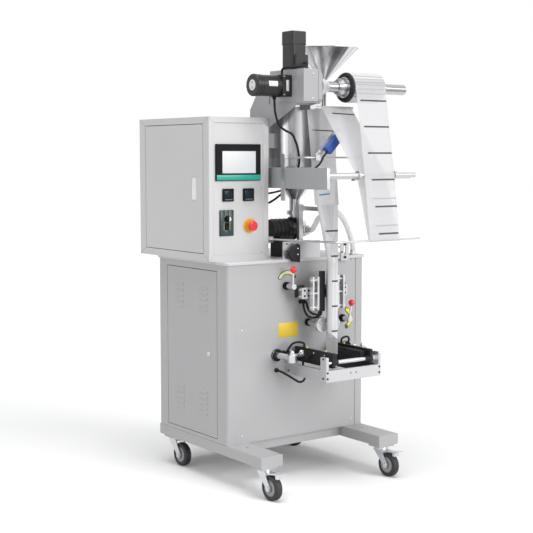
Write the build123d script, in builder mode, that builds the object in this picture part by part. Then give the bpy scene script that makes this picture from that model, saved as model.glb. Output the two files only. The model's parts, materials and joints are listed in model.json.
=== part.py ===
from build123d import *
from math import atan2, cos, degrees, hypot, radians, sin, sqrt, tan
import os

os.makedirs("parts", exist_ok=True)

# Sachet filling and sealing machine for sauces and pastes, on four casters.
# +X runs along the front, +Y goes back into the machine, +Z is up, the floor is z = 0.

# Reach of the whole machine from the cabinet's front left edge
shaft_reach = 813.0
dancer_reach = 357.0

# Cabinet of sheet steel
cab_w = 695.0
cab_d = 514.0
cab_bottom = 169.0
cab_top = 895.0
sheet = 6.0
lid_t = 12.0
lid_lip = 8.0
post_r = 12.0
corner_post = 40.0
panel_sink = 2.0
door_gap = 2.5
door_t = 12.0
door_skin = 3.0
door_fold = 10.0
cab_door_w = 371.0
cab_door_h = 668.0
cab_door_inset = 72.0
cab_door_low = 17.0
pin_r = 3.0
pin_fit = 0.05
pin_long = 9.0
pin_in = 5.0
pin_from_face = 4.0

# Base frame
leg_w = 102.0
leg_h = 44.0
leg_front = 228.0
cross_d = 60.0
cross_inset = 24.0

# Control box
box_w = 288.0
box_d = 534.0
box_h = 566.0
box_over = 38.0
box_back = 67.0
box_door_w = 440.0
box_door_h = 506.0
box_door_inset = 43.0
box_door_low = 31.0
panel_w = 242.0
panel_h = 522.0
panel_low = 22.0
bezel_slope = 3.0

# Casters
wheel_r = 49.0
wheel_w = 30.0
caster_h = 125.0
trail = 46.0
caster_turn = -2.0
pin_shift = 8.0
wheel_gap = 5.0
pedal_w = 30.0
fork_t = 4.0
fork_gap = 2.5
king_r = 8.0
caster_plate = 6.0
face_gap = 0.3

# Where things stand, from the cabinet's front left edge
left = (box_over - shaft_reach) / 2
front = (dancer_reach - box_back - box_d) / 2
tube_x = left + 432.0
tube_y = front - 120.0
box_left = left - box_over
box_front = front + box_back
box_right = box_left + box_w

# Base frame: two square tubes that run forward as feet, joined by two cross beams
leg_len = cab_d + leg_front
leg_xs = [left + leg_w / 2, left + cab_w - leg_w / 2]
pin_ys = [front - leg_front + 37.0, front + cab_d - 62.0]
caster_spots = [(x - pin_shift, y) for y in pin_ys for x in leg_xs]
leg_hole_r = 5.0
leg_hole_y = front - 62.0
leg_hole_deep = 20.0
with BuildPart() as base_frame:
    with BuildSketch(Plane.XY.offset(caster_h)):
        with Locations(*[(x, front - leg_front + leg_len / 2) for x in leg_xs]):
            Rectangle(leg_w, leg_len)
    extrude(amount=leg_h)
    fillet(base_frame.edges().filter_by(Axis.Y), radius=4.0)
    with BuildSketch(Plane.XY.offset(caster_h + 2)):
        with Locations(
            (left + cab_w / 2, front + cross_inset + cross_d / 2),
            (left + cab_w / 2, front + cab_d - cross_inset - cross_d / 2),
        ):
            Rectangle(cab_w - leg_w, cross_d)
    extrude(amount=leg_h - 4)
    with Locations(*[(x, leg_hole_y, cab_bottom) for x in leg_xs]):
        Hole(radius=leg_hole_r, depth=leg_hole_deep)
    # Caster plates with their king pins
    with BuildSketch(Plane.XY.offset(caster_h - caster_plate)):
        with Locations(*caster_spots):
            RectangleRounded(80.0, 72.0, 6.0)
    extrude(amount=caster_plate)
    with BuildSketch(Plane.XY.offset(caster_h - caster_plate)):
        with Locations(*caster_spots):
            Circle(king_r)
    extrude(amount=-12.0)
base_frame.part.label = "base_frame"
export_step(base_frame.part, "parts/base_frame.step")

# Casters: a pressed fork under a swivel head, and a rubber wheel on an axle bolt
plate_low = wheel_r * 2 + wheel_gap
fork_top = plate_low + 4.0
head_top = caster_h - caster_plate - face_gap
head_r = 26.0
axle_r = 5.0
axle_fit = 0.05
caster_names = ["front_left", "front_right", "rear_left", "rear_right"]
heading = radians(caster_turn)
trail_x = -sin(heading) * trail
trail_y = -cos(heading) * trail
brake_names = ["front_left", "front_right"]
for (pin_x, pin_y), corner in zip(caster_spots, caster_names):
    # The wheel's own plane: x along its axle, y back along its trail
    upright = Plane(
        origin=(pin_x, pin_y, 0), x_dir=(cos(heading), -sin(heading), 0), z_dir=(0, 0, 1)
    )
    axle = Plane(
        origin=(pin_x + trail_x, pin_y + trail_y, wheel_r),
        x_dir=(-sin(heading), -cos(heading), 0),
        z_dir=(-cos(heading), sin(heading), 0),
    )
    fork_half = wheel_w / 2 + fork_gap + fork_t
    with BuildPart() as fork:
        # Two cheeks, each a tapering plate from the head to the axle
        for side in (-1, 1):
            near = fork_half - fork_t if side > 0 else -fork_half
            with BuildSketch(axle.offset(near)):
                with BuildLine():
                    Polyline(
                        (-trail - 24, fork_top - wheel_r),
                        (-trail + 26, fork_top - wheel_r),
                        (13, 4),
                        (8, -12),
                        (-8, -12),
                        (-13, 0),
                        (-trail - 24, fork_top - wheel_r),
                    )
                make_face()
            extrude(amount=fork_t)
        with BuildSketch(upright.offset(plate_low)):
            with Locations((0, -1)):
                Rectangle(2 * fork_half, 50)
        extrude(amount=fork_top - plate_low)
        with BuildSketch(upright.offset(fork_top)):
            Circle(head_r)
        extrude(amount=head_top - fork_top)
        with BuildSketch(upright.offset(plate_low)):
            Circle(king_r + axle_fit)
        extrude(amount=head_top - plate_low, mode=Mode.SUBTRACT)
        # Axle bolt right through both cheeks
        with BuildSketch(axle.offset(-fork_half - 5)):
            Circle(axle_r)
        extrude(amount=2 * fork_half + 10)
        with BuildSketch(axle.offset(-fork_half - 5)):
            RegularPolygon(9, 6)
        extrude(amount=5)
        with BuildSketch(axle.offset(fork_half)):
            RegularPolygon(9, 6)
        extrude(amount=5)
        if corner in brake_names:
            # Brake pedal that rises past the wheel, with its brake block underneath
            pedal_low = plate_low - wheel_r
            with BuildSketch(axle.offset(-pedal_w / 2)):
                with BuildLine():
                    Polyline(
                        (-trail + 20, pedal_low),
                        (12, pedal_low),
                        (64, pedal_low + 8),
                        (66, pedal_low + 13),
                        (12, pedal_low + 5),
                        (-trail + 20, pedal_low + 4),
                        (-trail + 20, pedal_low),
                    )
                make_face()
            extrude(amount=pedal_w)
            with BuildSketch(axle.offset(-pedal_w / 2 + 3)):
                with BuildLine():
                    Polyline((36, 42), (47, 42), (47, pedal_low + 6), (34, pedal_low + 6), (34, 45), (36, 42))
                make_face()
            extrude(amount=pedal_w - 6)
    fork.part.label = f"caster_fork_{corner}"
    export_step(fork.part, f"parts/caster_fork_{corner}.step")

    with BuildPart() as wheel:
        with BuildSketch(axle.offset(-wheel_w / 2)):
            Circle(wheel_r)
        extrude(amount=wheel_w)
        fillet(wheel.edges().filter_by(GeomType.CIRCLE), radius=7.0)
        with BuildSketch(axle.offset(-wheel_w / 2)):
            Circle(33)
            Circle(15, mode=Mode.SUBTRACT)
        extrude(amount=5, mode=Mode.SUBTRACT)
        with BuildSketch(axle.offset(wheel_w / 2 - 5)):
            Circle(33)
            Circle(15, mode=Mode.SUBTRACT)
        extrude(amount=5, mode=Mode.SUBTRACT)
        with BuildSketch(axle.offset(-wheel_w / 2)):
            Circle(axle_r + axle_fit)
        extrude(amount=wheel_w, mode=Mode.SUBTRACT)
    wheel.part.label = f"caster_wheel_{corner}"
    export_step(wheel.part, f"parts/caster_wheel_{corner}.step")

# Cabinet: four walls and a floor, open at the top, with a doorway in its left side
wall_top = cab_top - lid_t
wall_h = wall_top - cab_bottom
door_low_z = cab_bottom + cab_door_low
door_front_y = front + cab_door_inset
doorway_w = cab_door_w + 2 * door_gap
doorway_h = cab_door_h + 2 * door_gap
doorway_y = door_front_y + cab_door_w / 2
doorway_z = door_low_z + cab_door_h / 2
hinge_x = left + pin_from_face
hinge_y = door_front_y + cab_door_w - pin_in
jamb = 20.0
sill = 13.0
left_wall = Plane(origin=(left, doorway_y, doorway_z), x_dir=(0, 1, 0), z_dir=(1, 0, 0))
with BuildPart() as cabinet_shell:
    with BuildSketch(Plane.XY.offset(cab_bottom)):
        with Locations((left + cab_w / 2, front + cab_d / 2)):
            RectangleRounded(cab_w, cab_d, post_r)
    extrude(amount=wall_h)
    with BuildSketch(Plane.XY.offset(cab_bottom + sheet)):
        with Locations((left + cab_w / 2, front + cab_d / 2)):
            RectangleRounded(cab_w - 2 * sheet, cab_d - 2 * sheet, post_r - sheet)
    extrude(amount=wall_h, mode=Mode.SUBTRACT)
    # Front panel, sunk a little between the rounded corner posts
    with BuildSketch(Plane(origin=(left + cab_w / 2, front, cab_bottom), x_dir=(1, 0, 0), z_dir=(0, 1, 0))):
        with Locations((0, -wall_h / 2)):
            Rectangle(cab_w - 2 * corner_post, wall_h)
    extrude(amount=panel_sink, mode=Mode.SUBTRACT)
    # Folded frame round the doorway
    with BuildSketch(left_wall):
        Rectangle(doorway_w + 2 * jamb, doorway_h + 2 * sill)
    extrude(amount=door_t + 4)
    with BuildSketch(left_wall):
        Rectangle(doorway_w, doorway_h)
    extrude(amount=door_t + 4, mode=Mode.SUBTRACT)
    # Hinge pins that stand into the doorway from above and below
    with BuildSketch(Plane.XY.offset(door_low_z - door_gap)):
        with Locations((hinge_x, hinge_y)):
            Circle(pin_r)
    extrude(amount=pin_long)
    with BuildSketch(Plane.XY.offset(door_low_z + cab_door_h + door_gap)):
        with Locations((hinge_x, hinge_y)):
            Circle(pin_r)
    extrude(amount=-pin_long)
cabinet_shell.part.label = "cabinet_shell"
export_step(cabinet_shell.part, "parts/cabinet_shell.step")

with BuildPart() as cabinet_lid:
    with BuildSketch(Plane.XY.offset(wall_top)):
        with Locations((left + cab_w / 2, front + cab_d / 2)):
            RectangleRounded(cab_w + 2 * lid_lip, cab_d + 2 * lid_lip, post_r + lid_lip)
    extrude(amount=lid_t)
    fillet(cabinet_lid.edges().group_by(Axis.Z)[-1], radius=3.0)
cabinet_lid.part.label = "cabinet_lid"
export_step(cabinet_lid.part, "parts/cabinet_lid.step")

# Cabinet door: a folded pan, hinged at the back, with pressed louvres
louvre_w = 60.0
louvre_n = 5
louvre_pitch = 22.5
louvre_h = 9.0
louvre_out = 3.0
louvre_ys = [front + 170.0, front + 347.0]
louvre_zs = [cab_bottom + 144.0, cab_bottom + 565.0]
door_plane = Plane(origin=(left, doorway_y, doorway_z), x_dir=(0, 1, 0), z_dir=(1, 0, 0))
with BuildPart() as cabinet_door:
    with BuildSketch(door_plane):
        Rectangle(cab_door_w, cab_door_h)
    extrude(amount=door_t)
    with BuildSketch(door_plane.offset(door_skin)):
        Rectangle(cab_door_w - 2 * door_fold, cab_door_h - 2 * door_fold)
    extrude(amount=door_t, mode=Mode.SUBTRACT)
    for louvre_y in louvre_ys:
        # Each louvre is a wedge pressed out of the skin, with its lip at the bottom
        with BuildSketch(Plane(origin=(left, louvre_y + louvre_w / 2, 0), x_dir=(1, 0, 0), z_dir=(0, -1, 0))):
            for group_z in louvre_zs:
                for row in range(louvre_n):
                    lip_z = group_z + (row - (louvre_n - 1) / 2) * louvre_pitch
                    with BuildLine():
                        Polyline(
                            (0, lip_z + louvre_h),
                            (-louvre_out, lip_z),
                            (1, lip_z),
                            (1, lip_z + louvre_h),
                            (0, lip_z + louvre_h),
                        )
                    make_face()
        extrude(amount=louvre_w)
    # Bosses and bores for the hinge pins
    for end_z in (door_low_z, door_low_z + cab_door_h):
        into = 1 if end_z < doorway_z else -1
        with BuildSketch(Plane.XY.offset(end_z)):
            with Locations((left + door_t / 2, hinge_y)):
                Rectangle(door_t, 2 * pin_in)
        extrude(amount=into * (pin_long + 4))
        with BuildSketch(Plane.XY.offset(end_z)):
            with Locations((hinge_x, hinge_y)):
                Circle(pin_r + pin_fit)
        extrude(amount=into * pin_long, mode=Mode.SUBTRACT)
cabinet_door.part.label = "cabinet_door"
export_step(cabinet_door.part, "parts/cabinet_door.step")

# Control box: a sheet box with a doorway in its left side and a sunk front panel
box_door_y = box_front + box_door_inset + box_door_w / 2
box_door_low_z = cab_top + box_door_low
box_door_z = box_door_low_z + box_door_h / 2
box_hinge_x = box_left + pin_from_face
box_hinge_y = box_front + box_door_inset + box_door_w - pin_in
box_mid_x = box_left + box_w / 2
box_mid_y = box_front + box_d / 2
panel_z = cab_top + panel_low + panel_h / 2
panel_x = box_left + 20.0 + panel_w / 2
box_side = Plane(origin=(box_left, box_door_y, box_door_z), x_dir=(0, 1, 0), z_dir=(1, 0, 0))
with BuildPart() as control_box_shell:
    with BuildSketch(Plane.XY.offset(cab_top)):
        with Locations((box_mid_x, box_mid_y)):
            Rectangle(box_w, box_d)
    extrude(amount=box_h)
    chamfer(control_box_shell.edges().filter_by(Axis.Z), length=2.0)
    with BuildSketch(Plane.XY.offset(cab_top + sheet)):
        with Locations((box_mid_x, box_mid_y)):
            Rectangle(box_w - 2 * sheet, box_d - 2 * sheet)
    extrude(amount=box_h - 2 * sheet, mode=Mode.SUBTRACT)
    with BuildSketch(box_side):
        Rectangle(box_door_w + 2 * door_gap + 2 * jamb, box_door_h + 2 * door_gap + 2 * jamb)
    extrude(amount=door_t + 4)
    with BuildSketch(box_side):
        Rectangle(box_door_w + 2 * door_gap, box_door_h + 2 * door_gap)
    extrude(amount=door_t + 4, mode=Mode.SUBTRACT)
    with BuildSketch(Plane(origin=(panel_x, box_front, panel_z), x_dir=(1, 0, 0), z_dir=(0, 1, 0))):
        Rectangle(panel_w, panel_h)
    extrude(amount=bezel_slope, mode=Mode.SUBTRACT, taper=45)
    with BuildSketch(Plane.XY.offset(box_door_low_z - door_gap)):
        with Locations((box_hinge_x, box_hinge_y)):
            Circle(pin_r)
    extrude(amount=pin_long)
    with BuildSketch(Plane.XY.offset(box_door_low_z + box_door_h + door_gap)):
        with Locations((box_hinge_x, box_hinge_y)):
            Circle(pin_r)
    extrude(amount=-pin_long)
control_box_shell.part.label = "control_box_shell"
export_step(control_box_shell.part, "parts/control_box_shell.step")

lock_w = 32.0
lock_h = 96.0
lock_z = cab_top + 284.0
lock_y = box_front + box_door_inset + 65.0
with BuildPart() as control_box_door:
    with BuildSketch(box_side):
        Rectangle(box_door_w, box_door_h)
    extrude(amount=door_t)
    with BuildSketch(box_side.offset(door_skin)):
        Rectangle(box_door_w - 2 * door_fold, box_door_h - 2 * door_fold)
    extrude(amount=door_t, mode=Mode.SUBTRACT)
    for end_z in (box_door_low_z, box_door_low_z + box_door_h):
        into = 1 if end_z < box_door_z else -1
        with BuildSketch(Plane.XY.offset(end_z)):
            with Locations((box_left + door_t / 2, box_hinge_y)):
                Rectangle(door_t, 2 * pin_in)
        extrude(amount=into * (pin_long + 4))
        with BuildSketch(Plane.XY.offset(end_z)):
            with Locations((box_hinge_x, box_hinge_y)):
                Circle(pin_r + pin_fit)
        extrude(amount=into * pin_long, mode=Mode.SUBTRACT)
    # Flush swing handle: a groove round it, and the slot for the fingers
    lock_plane = Plane(origin=(box_left, lock_y, lock_z), x_dir=(0, 1, 0), z_dir=(1, 0, 0))
    with BuildSketch(lock_plane):
        RectangleRounded(lock_w, lock_h, 5.0)
        RectangleRounded(lock_w - 2, lock_h - 2, 4.0, mode=Mode.SUBTRACT)
    extrude(amount=1.5, mode=Mode.SUBTRACT)
    with BuildSketch(lock_plane):
        with Locations((0, -8)):
            SlotOverall(58, 14, rotation=90)
    extrude(amount=1.2, mode=Mode.SUBTRACT)
control_box_door.part.label = "control_box_door"
export_step(control_box_door.part, "parts/control_box_door.step")

# Controls on the front panel, all seated on the sunk face
face_y = box_front + bezel_slope
face = Plane(origin=(0, face_y, 0), x_dir=(1, 0, 0), z_dir=(0, -1, 0))
screen_w = 213.0
screen_h = 144.0
screen_x = box_left + 138.5
screen_z = cab_top + 388.0
screen_out = 9.0
view_w = 161.0
view_h = 88.0
with BuildPart() as touch_screen:
    with BuildSketch(face):
        with Locations((screen_x, screen_z)):
            RectangleRounded(screen_w, screen_h, 3.0)
    extrude(amount=screen_out)
    chamfer(touch_screen.faces().sort_by(Axis.Y)[0].edges(), length=1.5)
    with BuildSketch(face.offset(screen_out)):
        with Locations((screen_x + 2, screen_z + 1)):
            Rectangle(view_w, view_h)
    extrude(amount=-1.5, mode=Mode.SUBTRACT)
touch_screen.part.label = "touch_screen"
export_step(touch_screen.part, "parts/touch_screen.step")

meter_side = 50.0
meter_out = 7.0
meter_xs = [box_left + 90.0, box_left + 188.0]
meter_z = cab_top + 260.0
plate_w = 64.0
plate_h = 102.0
plate_x = box_left + 83.0
plate_z = cab_top + 150.0
plate_out = 5.0
pocket_deep = 4.0
with BuildPart() as panel_meters:
    with BuildSketch(face):
        with Locations(*[(x, meter_z) for x in meter_xs]):
            RectangleRounded(meter_side, meter_side, 2.0)
    extrude(amount=meter_out)
    with BuildSketch(face.offset(meter_out)):
        with Locations(*[(x, meter_z + 4) for x in meter_xs]):
            Rectangle(38, 26)
    extrude(amount=-1.0, mode=Mode.SUBTRACT)
    with BuildSketch(face):
        with Locations((plate_x, plate_z)):
            RectangleRounded(plate_w, plate_h, 3.0)
    extrude(amount=plate_out)
    with BuildSketch(face.offset(plate_out)):
        with Locations((plate_x, plate_z - 14)):
            Rectangle(19, 27)
    extrude(amount=-pocket_deep, mode=Mode.SUBTRACT)
panel_meters.part.label = "panel_meters"
export_step(panel_meters.part, "parts/panel_meters.step")

knob_r = 12.0
knob_x = plate_x + 2.0
knob_z = plate_z + 16.0
with BuildPart() as regulator_knob:
    with BuildSketch(face.offset(plate_out + face_gap)):
        with Locations((knob_x, knob_z)):
            Circle(knob_r)
    extrude(amount=13.0, taper=4)
    fillet(regulator_knob.edges().group_by(Axis.Y)[0], radius=1.5)
    with BuildSketch(face.offset(plate_out + face_gap + 13)):
        with Locations((knob_x, knob_z + 6)):
            Rectangle(1.6, 9)
    extrude(amount=-1.0, mode=Mode.SUBTRACT)
regulator_knob.part.label = "regulator_knob"
export_step(regulator_knob.part, "parts/regulator_knob.step")

rocker_z = plate_z - 14.0
rocker_face = face_y - plate_out
rocker_deep = pocket_deep / 2
rocker_side = Plane(origin=(plate_x - 8.0, rocker_face + rocker_deep, rocker_z), x_dir=(0, -1, 0), z_dir=(1, 0, 0))
with BuildPart() as rocker_switch:
    with BuildSketch(rocker_side):
        with BuildLine():
            Polyline(
                (face_gap - rocker_deep, -1.5),
                (1.5, -11),
                (5.0, -11),
                (3.4, 0),
                (5.0, 11),
                (1.5, 11),
                (face_gap - rocker_deep, 1.5),
                (face_gap - rocker_deep, -1.5),
            )
        make_face()
    extrude(amount=16.0)
rocker_switch.part.label = "rocker_switch"
export_step(rocker_switch.part, "parts/rocker_switch.step")

stop_x = box_left + 197.0
stop_z = cab_top + 136.0
stop_ring_r = 29.0
stop_stem_r = 11.0
with BuildPart() as stop_ring:
    with BuildSketch(face):
        with Locations((stop_x, stop_z)):
            Circle(stop_ring_r)
    extrude(amount=4.0)
    with BuildSketch(face.offset(4)):
        with Locations((stop_x, stop_z)):
            Circle(16)
    extrude(amount=8.0)
    with BuildSketch(face):
        with Locations((stop_x, stop_z)):
            Circle(stop_stem_r + pin_fit)
    extrude(amount=12.0, mode=Mode.SUBTRACT)
stop_ring.part.label = "stop_ring"
export_step(stop_ring.part, "parts/stop_ring.step")

stop_travel = 4.0
with BuildPart() as stop_button:
    with BuildSketch(face.offset(stop_travel + 0.5)):
        with Locations((stop_x, stop_z)):
            Circle(stop_stem_r)
    extrude(amount=16.0)
    with BuildSketch(face.offset(18)):
        with Locations((stop_x, stop_z)):
            Circle(20)
    extrude(amount=12.0)
    fillet(stop_button.edges().group_by(Axis.Y)[0], radius=5.0)
stop_button.part.label = "stop_button"
export_step(stop_button.part, "parts/stop_button.step")

# Fittings on the cabinet's front panel
panel_y = front + panel_sink
panel_face = Plane(origin=(0, panel_y, 0), x_dir=(1, 0, 0), z_dir=(0, -1, 0))
lever_xs = [left + 288.0, left + cab_w - 113.0]
lever_zs = [cab_top - 108.0, cab_top - 262.0]
lever_leans = [1.0, 10.0]
lever_long = 69.0
lever_y = front - 47.0
lever_shaft_r = 7.0
ball_r = 13.5
arc_t = 2.0
arc_1_mid = (lever_xs[0] + 6, lever_zs[0] + 10)
arc_1_out = 52.0
arc_1_in = 36.0
arc_1_half = 66.0
arc_2_mid = (lever_xs[1] + 5, lever_zs[1] - 2)
arc_2_out = 50.0
arc_2_in = 32.0
arc_2_half = 72.0
with BuildPart() as lever_arcs:
    with BuildSketch(panel_face):
        with BuildLine():
            outer_1 = CenterArc(arc_1_mid, arc_1_out, 90 - arc_1_half, 2 * arc_1_half)
            inner_1 = CenterArc(arc_1_mid, arc_1_in, 90 - arc_1_half, 2 * arc_1_half)
            Line(outer_1 @ 0, inner_1 @ 0)
            Line(outer_1 @ 1, inner_1 @ 1)
        make_face()
        with BuildLine():
            outer_2 = CenterArc(arc_2_mid, arc_2_out, -arc_2_half, 2 * arc_2_half)
            inner_2 = CenterArc(arc_2_mid, arc_2_in, -arc_2_half, 2 * arc_2_half)
            Line(outer_2 @ 0, inner_2 @ 0)
            Line(outer_2 @ 1, inner_2 @ 1)
        make_face()
        fillet(vertices(), radius=6.0)
    extrude(amount=arc_t)
lever_arcs.part.label = "lever_arcs"
export_step(lever_arcs.part, "parts/lever_arcs.step")

# Film pulling wheels pinch the back seam of the film between their rims
pull_r = 29.7
pull_apart = 60.6
pull_z = cab_top - 265.0
pull_w = 14.0
pull_front = front - 94.0
pull_shaft_r = 8.0
pull_xs = [tube_x - pull_apart / 2, tube_x + pull_apart / 2]
bush_r = 16.0
bush_long = 12.0
with BuildPart() as panel_bushes:
    with BuildSketch(panel_face):
        with Locations(*zip(lever_xs, lever_zs)):
            Circle(bush_r)
        with Locations(*[(x, pull_z) for x in pull_xs]):
            Circle(bush_r)
    extrude(amount=bush_long)
    with BuildSketch(panel_face):
        with Locations(*zip(lever_xs, lever_zs)):
            Circle(lever_shaft_r + pin_fit)
        with Locations(*[(x, pull_z) for x in pull_xs]):
            Circle(pull_shaft_r + pin_fit)
    extrude(amount=bush_long, mode=Mode.SUBTRACT)
panel_bushes.part.label = "panel_bushes"
export_step(panel_bushes.part, "parts/panel_bushes.step")

for lever_x, lever_z, lean, number in zip(lever_xs, lever_zs, lever_leans, (1, 2)):
    rise_x = sin(radians(lean))
    rise_z = cos(radians(lean))
    with BuildPart() as clutch_lever:
        with BuildSketch(panel_face.offset(face_gap)):
            with Locations((lever_x, lever_z)):
                Circle(lever_shaft_r)
        extrude(amount=panel_y - face_gap - lever_y + 6)
        with BuildSketch(panel_face.offset(bush_long + 2)):
            with Locations((lever_x, lever_z)):
                Circle(11)
        extrude(amount=panel_y - bush_long - 2 - lever_y + 8)
        with BuildSketch(
            Plane(origin=(lever_x, lever_y, lever_z), x_dir=(0, 1, 0), z_dir=(rise_x, 0, rise_z))
        ):
            Circle(4.5)
        extrude(amount=lever_long, taper=1)
        with Locations((lever_x + lever_long * rise_x, lever_y, lever_z + lever_long * rise_z)):
            Sphere(ball_r)
    clutch_lever.part.label = f"clutch_lever_{number}"
    export_step(clutch_lever.part, f"parts/clutch_lever_{number}.step")

for pull_x, side in zip(pull_xs, ("left", "right")):
    with BuildPart() as pull_wheel:
        with BuildSketch(panel_face.offset(face_gap)):
            with Locations((pull_x, pull_z)):
                Circle(pull_shaft_r)
        extrude(amount=panel_y - face_gap - pull_front - pull_w / 2)
        with BuildSketch(panel_face.offset(bush_long + 2)):
            with Locations((pull_x, pull_z)):
                Circle(pull_shaft_r + 4)
        extrude(amount=12.0)
        with BuildSketch(panel_face.offset(panel_y - pull_front - pull_w)):
            with Locations((pull_x, pull_z)):
                Circle(pull_r)
        extrude(amount=pull_w)
        with BuildSketch(panel_face.offset(panel_y - pull_front)):
            with Locations((pull_x, pull_z)):
                Circle(23)
                Circle(9, mode=Mode.SUBTRACT)
        extrude(amount=-2.5, mode=Mode.SUBTRACT)
        with BuildSketch(panel_face.offset(panel_y - pull_front)):
            with Locations((pull_x, pull_z)):
                Circle(3)
        extrude(amount=-6.0, mode=Mode.SUBTRACT)
    pull_wheel.part.label = f"pull_wheel_{side}"
    export_step(pull_wheel.part, f"parts/pull_wheel_{side}.step")

# Back seam jaws: two heated blocks that slide together on two short rods
slide_zs = [cab_top - 149.0, cab_top - 121.0]
slide_y = front - 58.0
slide_rod_r = 5.0
slide_mid_z = (slide_zs[0] + slide_zs[1]) / 2
seam_block_w = 33.0
seam_block_h = 162.0
seam_block_d = 26.0
seam_low = cab_top - 210.0
seam_open = 14.0
seam_front = front - 94.0
bolt_y = seam_front + 7.0
bolt_rises = [16.0, 73.0, 126.0]
end_block_w = 45.0
end_block_h = 44.0
end_block_x = 95.5
end_block_t = 28.0
with BuildPart() as vertical_jaw_slide:
    with BuildSketch(panel_face):
        with Locations((tube_x - end_block_x, slide_mid_z), (tube_x + end_block_x, slide_mid_z)):
            Circle(12)
    extrude(amount=panel_y - slide_y - end_block_t / 2 + 1)
    with BuildSketch(panel_face.offset(panel_y - slide_y - end_block_t / 2)):
        with Locations((tube_x - end_block_x, slide_mid_z), (tube_x + end_block_x, slide_mid_z)):
            RectangleRounded(end_block_w, end_block_h, 2.0)
    extrude(amount=end_block_t)
    with BuildSketch(Plane.YZ.offset(tube_x - end_block_x - end_block_w / 2 - 4.5)):
        with Locations(*[(slide_y, z) for z in slide_zs]):
            Circle(slide_rod_r)
    extrude(amount=2 * end_block_x + end_block_w + 9)
vertical_jaw_slide.part.label = "vertical_jaw_slide"
export_step(vertical_jaw_slide.part, "parts/vertical_jaw_slide.step")

for hand, side in zip((-1, 1), ("left", "right")):
    block_x = tube_x + hand * (seam_open + seam_block_w / 2)
    plate_in = tube_x + hand * (seam_open + seam_block_w)
    plate_out = tube_x + hand * (end_block_x - end_block_w / 2 + 2)
    with BuildPart() as vertical_jaw:
        with BuildSketch(Plane.XY.offset(seam_low)):
            with Locations((block_x, seam_front + seam_block_d / 2)):
                Rectangle(seam_block_w, seam_block_d)
        extrude(amount=seam_block_h)
        chamfer(vertical_jaw.edges().filter_by(Axis.Z).group_by(Axis.Y)[0], length=5.0)
        # Lug that runs on the rods
        with BuildSketch(panel_face.offset(panel_y - slide_y - 9)):
            with Locations((block_x, slide_mid_z)):
                RectangleRounded(seam_block_w, 50, 4.0)
        extrude(amount=slide_y - seam_front - seam_block_d + 9 + 1)
        with BuildSketch(Plane.YZ.offset(tube_x + hand * 10)):
            with Locations(*[(slide_y, z) for z in slide_zs]):
                Circle(slide_rod_r + pin_fit)
        extrude(amount=hand * 40, mode=Mode.SUBTRACT)
        # Backing plate against the heater, and a spring plate on three bolts outside it
        inner_face = Plane(origin=(plate_in, 0, 0), x_dir=(0, hand, 0), z_dir=(hand, 0, 0))
        outer_face = Plane(origin=(plate_out, 0, 0), x_dir=(0, hand, 0), z_dir=(hand, 0, 0))
        with BuildSketch(inner_face):
            with Locations((hand * (seam_front + seam_block_d / 2), seam_low + 73)):
                RectangleRounded(seam_block_d, 136, 2.0)
        extrude(amount=9)
        with BuildSketch(outer_face):
            with Locations((hand * bolt_y, seam_low + 73)):
                RectangleRounded(20, 136, 2.0)
        extrude(amount=8)
        with BuildSketch(inner_face):
            with Locations(*[(hand * bolt_y, seam_low + rise) for rise in bolt_rises]):
                Circle(4)
        extrude(amount=hand * (plate_out - plate_in) + 14)
        with BuildSketch(outer_face.offset(8)):
            with Locations(*[(hand * bolt_y, seam_low + rise) for rise in bolt_rises]):
                RegularPolygon(7, 6)
        extrude(amount=5)
        with BuildSketch(inner_face.offset(9)):
            with Locations(*[(hand * bolt_y, seam_low + rise) for rise in bolt_rises]):
                RegularPolygon(7, 6)
        extrude(amount=5)
    vertical_jaw.part.label = f"vertical_jaw_{side}"
    export_step(vertical_jaw.part, f"parts/vertical_jaw_{side}.step")

# Cross sealing: a flat frame that stands out from the panel, with two guide rods across it
seal_x0 = left + 287.0
seal_x1 = left + 567.0
seal_low = cab_top - 465.0
seal_h = 46.0
seal_out = 262.0
seal_t = 12.0
lug_top = cab_top - 368.0
guide_z = cab_top - 394.0
guide_r = 8.0
guide_ys = [front - 238.0, front - 18.0]
lug_ys = [front - seal_out + 18.5, guide_ys[1]]
lug_ws = [37.0, 26.0]
with BuildPart() as sealing_frame:
    with BuildSketch(Plane.XY.offset(seal_low)):
        with Locations(((seal_x0 + seal_x1) / 2, (panel_y + front - seal_out) / 2)):
            Rectangle(seal_x1 - seal_x0, seal_out + panel_sink)
        with Locations(((seal_x0 + seal_x1) / 2, (panel_y + front - seal_out) / 2 + seal_t)):
            Rectangle(seal_x1 - seal_x0 - 2 * seal_t, seal_out + panel_sink, mode=Mode.SUBTRACT)
    extrude(amount=seal_h)
    for plate_x in (seal_x0, seal_x1 - seal_t):
        for lug_y, lug_w in zip(lug_ys, lug_ws):
            with BuildSketch(Plane.YZ.offset(plate_x)):
                with Locations((lug_y, (seal_low + lug_top) / 2)):
                    RectangleRounded(lug_w, lug_top - seal_low, 4.0)
            extrude(amount=seal_t)
    with BuildSketch(Plane.YZ.offset(seal_x0)):
        with Locations(*[(y, guide_z) for y in guide_ys]):
            Circle(guide_r)
    extrude(amount=seal_x1 - seal_x0, mode=Mode.SUBTRACT)
sealing_frame.part.label = "sealing_frame"
export_step(sealing_frame.part, "parts/sealing_frame.step")

with BuildPart() as sealing_guide_rods:
    with BuildSketch(Plane.YZ.offset(seal_x0)):
        with Locations(*[(y, guide_z) for y in guide_ys]):
            Circle(guide_r)
    extrude(amount=seal_x1 - seal_x0 + 4)
    # Rubber ring and collar against the right lug
    with BuildSketch(Plane.YZ.offset(seal_x1 - seal_t - 16)):
        with Locations(*[(y, guide_z) for y in guide_ys]):
            Circle(guide_r + 4)
    extrude(amount=16)
sealing_guide_rods.part.label = "sealing_guide_rods"
export_step(sealing_guide_rods.part, "parts/sealing_guide_rods.step")

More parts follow.
